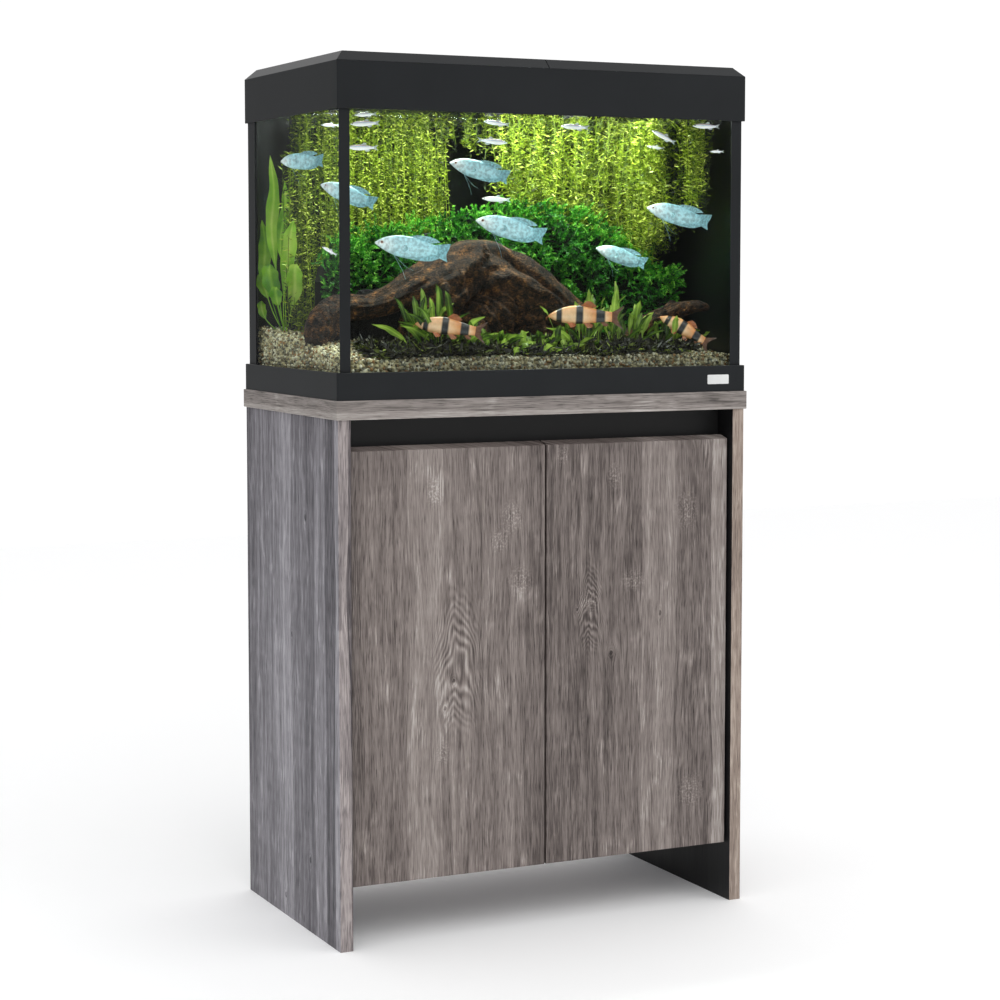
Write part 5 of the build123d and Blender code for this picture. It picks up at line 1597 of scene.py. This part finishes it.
@dataclass
class FishKind:
    """A kind of fish: outline, width, fins and skin, all in shares of its length.

    Body point = nose to tail along x, a width times cos(angle) across, and a middle height plus half a
    height times sin(angle) up, with top, bottom and width read from smooth curves along the body.
    """

    label: str
    back: tuple[float, ...]
    belly: tuple[float, ...]
    width: tuple[float, ...]
    fins: tuple[Fin, ...]
    finishes: tuple[Finish, Finish, Finish]
    eye: tuple[float, float, float]
    feelers: tuple[Feeler, ...] = ()
    tail_start: float = 0.84
    rings: int = 34
    sides: int = 24
    fin_rows: int = 12
    fin_columns: int = 6
    feeler_rings: int = 14
    feeler_sides: int = 4

    def place(self, points: np.ndarray, pose: Pose) -> np.ndarray:
        """Turns and moves points of a fish of unit length into the tank.

        Args:
            points: points whose x runs from nose (0) to tail (1).
            pose: where the fish swims.

        Returns:
            Points in the tank, in millimetres.
        """
        tilt, heading = math.radians(pose.tilt), math.radians(pose.heading)
        local = (points - np.array([0.5, 0.0, 0.0])) * pose.length
        x = -local[..., 0]
        forward = x * math.cos(tilt) - local[..., 2] * math.sin(tilt)
        up = x * math.sin(tilt) + local[..., 2] * math.cos(tilt)
        return np.stack([pose.x + forward * math.cos(heading) - local[..., 1] * math.sin(heading),
                         pose.y + forward * math.sin(heading) + local[..., 1] * math.cos(heading),
                         pose.z + up], -1)

    def build(self, number: int, pose: Pose) -> None:
        """Makes one fish.

        Args:
            number: its number within its kind.
            pose: where it swims.
        """
        fish = Piece(f"{self.label}_{number}", "cabinet", None, self.finishes, merge=True)
        share = np.linspace(0, 1, self.rings)
        back, belly, width = (smooth(np.array(curve, float)[:, None], share)[:, 0]
                              for curve in (self.back, self.belly, self.width))
        angle = np.arange(self.sides) * 2 * math.pi / self.sides
        sway = 0.012 * np.sin(share * 5 + number)
        middle, half = (back + belly) / 2, (back - belly) / 2
        cosine = np.cos(angle)
        body = np.stack([np.broadcast_to((share * self.tail_start)[:, None], (self.rings, self.sides)),
                         sway[:, None] + width[:, None] * np.sign(cosine) * np.abs(cosine) ** 0.9,
                         middle[:, None] + half[:, None] * np.sin(angle)], -1)
        rise = np.broadcast_to((np.sin(angle) + 1) / 2, (self.rings, self.sides))
        fish.put(self.place(body, pose), grid_faces(self.rings, self.sides, wrap=True), 0,
                 run=body[..., 0].ravel(), rise=rise.ravel())
        for fin in self.fins:
            u = np.linspace(0, 1, self.fin_rows)
            v = np.linspace(0, 1, self.fin_columns)[None, :, None]
            root, tip = smooth(fin.root, u)[:, None], smooth(fin.tip, u)[:, None]
            flat = root * (1 - v) + tip * v
            for sign in ((1,) if fin.out == 0 else (-1, 1)):
                lean = sign * fin.out * (0.25 + v[..., 0]) + 0.006 * np.sin(u * 21)[:, None] * v[..., 0]
                sheet = np.stack([flat[..., 0], lean + 0.012 * np.sin(flat[..., 0] * 5 + number),
                                  flat[..., 1]], -1)
                fish.put(self.place(sheet, pose), grid_faces(self.fin_rows, self.fin_columns), 1,
                         run=sheet[..., 0].ravel(), rise=np.broadcast_to(v[..., 0], flat.shape[:2]).ravel())
        for feeler in self.feelers:
            line = smooth(feeler.path, np.linspace(0, 1, self.feeler_rings))
            taper = feeler.radius * np.linspace(1, 0.5, self.feeler_rings)
            thread = tubes(line[None], taper[None], self.feeler_sides)
            fish.put(self.place(thread, pose), grid_faces(self.feeler_rings, self.feeler_sides, wrap=True),
                     1, run=0.5, rise=0.5)
        self.eyes(fish, pose)
        fish.build()

    def eyes(self, fish: Piece, pose: Pose) -> None:
        """Adds both eyes, each a low dome.

        Args:
            fish: the fish's piece.
            pose: where it swims.
        """
        x, z, radius = self.eye
        ring, turn = np.meshgrid(np.linspace(0, 1, 7), np.linspace(0, 2 * math.pi, 13), indexing="ij")
        station = x / self.tail_start
        half_width = smooth(np.array(self.width, float)[:, None], np.array([station]))[0, 0]
        for sign in (-1, 1):
            dome = np.stack([x + radius * ring * np.cos(turn),
                             sign * (half_width * 0.86 + radius * 0.55 * np.sqrt(1 - (ring * 0.95) ** 2)),
                             z + radius * ring * np.sin(turn)], -1)
            fish.put(self.place(dome, pose), grid_faces(7, 13), 2, run=ring.ravel(), rise=ring.ravel())


@dataclass
class Fish:
    """All the fish: pale blue gouramis, banded loaches and small silver danios."""

    def gourami(self) -> FishKind:
        """Describes the pale blue gourami, with its long feelers."""
        skin = FishSkin("gourami_scales", mottle=0.42, mottle_size=4.5, along_body=(
            (0.0, "#F4F8F8"), (0.16, "#E6F4F6"), (0.3, "#C0E6EE"), (0.7, "#B2DFE8"), (1.0, "#92CEDA")),
            up_body=((0.0, "#D8E8EA"), (0.5, "#FFFFFF"), (1.0, "#DCF0F4")), lit=0.2)
        fin = FishSkin("gourami_fin", mottle=0.5, mottle_size=2.5, along_body=(
            (0.0, "#B4DEE6"), (1.0, "#86C2CE")), lit=0.06)
        eye = FishSkin("gourami_eye", along_body=((0.0, "#0A0A0C"), (0.55, "#0A0A0C"), (0.6, "#C05A38"),
                                                  (0.8, "#D8D0C0")), mottle=0.0, roughness=0.1)
        return FishKind(
            "gourami",
            back=(0.006, 0.066, 0.104, 0.126, 0.136, 0.138, 0.132, 0.118, 0.098, 0.078, 0.064),
            belly=(-0.014, -0.062, -0.1, -0.128, -0.146, -0.154, -0.152, -0.138, -0.114, -0.084, -0.062),
            width=(0.0, 0.036, 0.054, 0.062, 0.062, 0.056, 0.047, 0.036, 0.026, 0.017, 0.008),
            fins=(
                Fin(((0.42, 0.128), (0.52, 0.12), (0.63, 0.094), (0.7, 0.074)),
                    ((0.54, 0.168), (0.68, 0.172), (0.8, 0.148), (0.86, 0.112))),
                Fin(((0.32, -0.138), (0.5, -0.132), (0.66, -0.094), (0.8, -0.055)),
                    ((0.4, -0.152), (0.6, -0.162), (0.76, -0.148), (0.87, -0.1))),
                Fin(((0.8, 0.074), (0.825, 0.03), (0.825, -0.03), (0.8, -0.07)),
                    ((1.0, 0.115), (0.985, 0.04), (0.96, -0.04), (0.985, -0.13))),
                Fin(((0.29, -0.02), (0.3, -0.04), (0.3, -0.06)), ((0.42, 0.02), (0.45, -0.03), (0.41, -0.07)),
                    out=0.06),
            ),
            finishes=(skin, fin, eye), eye=(0.095, 0.016, 0.021),
            feelers=(Feeler(((0.26, 0.02, -0.12), (0.34, 0.03, -0.22), (0.42, 0.04, -0.33),
                             (0.47, 0.04, -0.43))),
                     Feeler(((0.26, -0.02, -0.12), (0.36, -0.03, -0.2), (0.46, -0.04, -0.27),
                             (0.55, -0.05, -0.3)), 0.0018)))

    def loach(self) -> FishKind:
        """Describes the cream loach with three dark bands and rust fins."""
        cream, deep, band = "#EECAA0", "#DC9C62", "#1E2226"
        skin = FishSkin("loach_scales", mottle=0.12, mottle_size=5.0, roughness=0.35, along_body=(
            (0.0, deep), (0.1, cream), (0.115, band), (0.17, band), (0.19, cream), (0.355, cream),
            (0.375, band), (0.45, band), (0.47, cream), (0.62, deep), (0.64, band), (0.74, band),
            (0.76, cream), (0.84, deep)),
            up_body=((0.0, "#F6E2C8"), (0.4, "#FFFFFF"), (1.0, "#E8C49A")), lit=0.06)
        fin = FishSkin("loach_fin", mottle=0.3, mottle_size=3.0, along_body=(
            (0.0, "#D8702C"), (0.5, "#A8602F"), (0.8, "#7A4A2C"), (1.0, "#4E382C")))
        eye = FishSkin("loach_eye", along_body=((0.0, "#050506"), (0.7, "#08080A"), (0.75, "#C8A060")),
                       mottle=0.0, roughness=0.1)
        return FishKind(
            "loach",
            back=(0.0, 0.056, 0.098, 0.124, 0.138, 0.138, 0.126, 0.11, 0.092, 0.078, 0.068),
            belly=(-0.022, -0.066, -0.088, -0.1, -0.104, -0.102, -0.094, -0.084, -0.074, -0.064, -0.058),
            width=(0.0, 0.036, 0.052, 0.06, 0.06, 0.056, 0.049, 0.04, 0.03, 0.02, 0.01),
            fins=(
                Fin(((0.42, 0.13), (0.5, 0.125), (0.58, 0.11)), ((0.5, 0.205), (0.57, 0.19), (0.64, 0.13))),
                Fin(((0.82, 0.058), (0.83, 0.01), (0.82, -0.05)), ((1.0, 0.16), (0.91, 0.0), (1.0, -0.165))),
                Fin(((0.23, -0.06), (0.26, -0.065), (0.29, -0.07)),
                    ((0.3, -0.15), (0.35, -0.14), (0.37, -0.11)), out=0.05),
                Fin(((0.46, -0.078), (0.49, -0.078), (0.52, -0.075)),
                    ((0.52, -0.15), (0.57, -0.145), (0.6, -0.11)), out=0.04),
                Fin(((0.68, -0.066), (0.71, -0.064), (0.74, -0.06)),
                    ((0.74, -0.12), (0.78, -0.12), (0.8, -0.09))),
            ),
            finishes=(skin, fin, eye), eye=(0.13, 0.022, 0.013),
            feelers=(Feeler(((0.01, 0.01, -0.014), (-0.015, 0.014, -0.035), (-0.02, 0.018, -0.06)), 0.0035),
                     Feeler(((0.01, -0.01, -0.014), (-0.02, -0.014, -0.03), (-0.03, -0.018, -0.052)),
                            0.0035)))

    def danio(self) -> FishKind:
        """Describes the small silver danio."""
        skin = FishSkin("danio_scales", mottle=0.14, mottle_size=3.0, roughness=0.2, along_body=(
            (0.0, "#E6ECEA"), (0.15, "#FBFDFC"), (0.6, "#F8FAFC"), (1.0, "#EEF2F8")),
            up_body=((0.0, "#FFFFFF"), (0.5, "#FFFFFF"), (0.66, "#BFD8E8"), (0.78, "#EFD2D6"),
                     (1.0, "#9AA6A0")), lit=0.35)
        fin = FishSkin("danio_fin", mottle=0.1, along_body=((0.0, "#E4EAE8"), (1.0, "#C8D2D2")), lit=0.1)
        eye = FishSkin("danio_eye", along_body=((0.0, "#08080A"), (0.5, "#08080A"), (0.55, "#C9CDCB")),
                       mottle=0.0, roughness=0.1)
        return FishKind(
            "danio",
            back=(0.0, 0.05, 0.078, 0.09, 0.09, 0.082, 0.068, 0.052, 0.038),
            belly=(-0.01, -0.05, -0.078, -0.09, -0.09, -0.08, -0.066, -0.05, -0.036),
            width=(0.0, 0.04, 0.055, 0.06, 0.056, 0.048, 0.036, 0.024, 0.01),
            fins=(Fin(((0.46, 0.085), (0.52, 0.08), (0.58, 0.07)), ((0.54, 0.15), (0.6, 0.14), (0.63, 0.1))),
                  Fin(((0.83, 0.035), (0.84, 0.0), (0.83, -0.035)), ((1.0, 0.09), (0.93, 0.0), (1.0, -0.09))),
                  Fin(((0.55, -0.08), (0.62, -0.07), (0.7, -0.055)),
                      ((0.62, -0.13), (0.69, -0.12), (0.75, -0.08)))),
            finishes=(skin, fin, eye), eye=(0.085, 0.012, 0.03), tail_start=0.86, rings=20, sides=16)

    def build(self) -> None:
        """Puts every fish in its place."""
        gouramis = (Pose(-262, 60, 1041, 76, 119, 0), Pose(-222, -10, 994, 80, 152, 19),
                    Pose(-49, -60, 1028, 84, 154, 14), Pose(-176, -120, 921, 100, 154, 8),
                    Pose(-26, -110, 948, 97, 154, 13), Pose(242, -100, 969, 92, 154, 13),
                    Pose(194, -20, 912, 76, 154, 17))
        loaches = (Pose(-126, -134, 814, 96, 156, 8), Pose(76, -136, 828, 104, 154, 2),
                   Pose(240, -126, 806, 84, 150, 30))
        danios = (Pose(-236, 20, 1088, 26, 168, 0), Pose(-217, -60, 1098, 30, 160, -3),
                  Pose(-218, -60, 1086, 40, 154, -2), Pose(-230, -80, 1053, 42, 154, 1),
                  Pose(-246, 0, 917, 24, 150, 30), Pose(-23, -60, 1092, 36, 154, 8),
                  Pose(-30, -60, 1067, 42, 334, -6), Pose(98, -60, 1090, 40, 154, 4),
                  Pose(240, -60, 1080, 38, 154, 28), Pose(238, -40, 1066, 26, 154, 8),
                  Pose(262, -140, 1091, 38, 154, 2), Pose(276, -146, 1056, 20, 154, 0),
                  Pose(-14, -40, 989, 40, 154, 3))
        for kind, poses in ((self.gourami(), gouramis), (self.loach(), loaches), (self.danio(), danios)):
            for number, pose in enumerate(poses):
                kind.build(number + 1, pose)


# ---------------------------------------------------------------- the room


@dataclass(frozen=True)
class SoftBox:
    """A square light: its place and the point that it faces, its side in metres and its power in watts."""

    name: str
    place: tuple[float, float, float]
    target: tuple[float, float, float]
    size: float
    power: float


@dataclass
class Room:
    """The pale floor, the soft lights and the camera."""

    lights: tuple[SoftBox, ...] = (
        SoftBox("key_light", (-0.8, -2.9, 2.9), (0.0, 0.0, 0.5), 2.4, 25.0),
        SoftBox("fill_light", (2.2, -2.4, 2.2), (0.0, 0.0, 0.5), 2.0, 9.0),
    )
    camera_place: tuple[float, float, float] = (-1.4104, -2.9465, 0.8861)
    camera_turn: float = 0.4494
    camera_drop: float = 0.0758
    lens: float = 83.51
    shift_up: float = -0.05
    floor_size: float = 9.0

    def build(self) -> None:
        """Makes the floor, the lights, the sky and the camera."""
        mesh = bpy.data.meshes.new("floor")
        half = self.floor_size / 2
        corners = [(-half, -half, 0), (half, -half, 0), (half, half, 0), (-half, half, 0)]
        mesh.from_pydata(corners, [], [(0, 1, 2, 3)])
        mesh.materials.append(Plastic("pale_painted_floor", colour="#FEFEFE", roughness=0.9, mottle=0.005,
                                      relief=0.0, glow=0.07).material())
        floor = bpy.data.objects.new("floor", mesh)
        bpy.context.scene.collection.objects.link(floor)
        for soft_box in self.lights:
            self.hang(soft_box)
        self.sky()
        self.camera()
        bpy.context.scene.view_settings.view_transform = "Standard"

    def hang(self, soft_box: SoftBox) -> None:
        """Hangs a square light and turns it to the point that it faces.

        Args:
            soft_box: the light's measures.
        """
        data = bpy.data.lights.new(soft_box.name, "AREA")
        data.size = soft_box.size
        data.energy = soft_box.power
        light = bpy.data.objects.new(soft_box.name, data)
        reach = np.subtract(soft_box.target, soft_box.place)
        light.location = soft_box.place
        light.rotation_euler = (math.acos(-reach[2] / np.linalg.norm(reach)), 0.0,
                                math.atan2(reach[1], reach[0]) - math.pi / 2)
        bpy.context.scene.collection.objects.link(light)

    def sky(self) -> None:
        """Makes a white room that is dimmer in front of the tank, so that its glass stays clear."""
        world = bpy.data.worlds.new("white_room")
        world.use_nodes = True
        world.node_tree.nodes.clear()
        tree = world.node_tree
        way = add(tree, "SeparateXYZ", [add(tree, "TexCoord").outputs["Generated"]])
        back = remap(tree, way.outputs[1], (0.1, 0.6), eased=True)
        right = remap(tree, way.outputs[0], (-0.12, 0.18), eased=True)
        wall = calc(tree, "MULTIPLY", back, right)
        ceiling = remap(tree, way.outputs[2], (0.25, 0.6), eased=True)
        lit = calc(tree, "MAXIMUM", wall, ceiling)
        strength = remap(tree, lit, end=(0.3, 1.04))
        shade = add(tree, "Background", {"Color": (1.0, 1.0, 1.0, 1.0), "Strength": strength})
        add(tree, "OutputWorld", {"Surface": shade})
        bpy.context.scene.world = world

    def camera(self) -> None:
        """Sets the camera."""
        data = bpy.data.cameras.new("camera")
        data.lens = self.lens
        data.shift_y = self.shift_up
        camera = bpy.data.objects.new("camera", data)
        camera.location = self.camera_place
        camera.rotation_euler = (math.pi / 2 - self.camera_drop, 0.0, -self.camera_turn)
        bpy.context.scene.collection.objects.link(camera)
        bpy.context.scene.camera = camera


def main() -> None:
    """Builds the room and dresses or builds each sub-assembly in turn."""
    logging.basicConfig(level=logging.INFO, format="%(name)s %(message)s")
    Room().build()
    Cabinet().dress()
    hood = Hood()
    hood.dress()
    hood.light()
    tank = Tank()
    tank.dress()
    tank.build()
    bed = GravelBed()
    bed.build()
    BogWoodLog().build()
    MossMound().build()
    StemCurtains().build()
    BroadLeaves().build(bed)
    Fish().build()


if __name__ == "__main__":
    main()
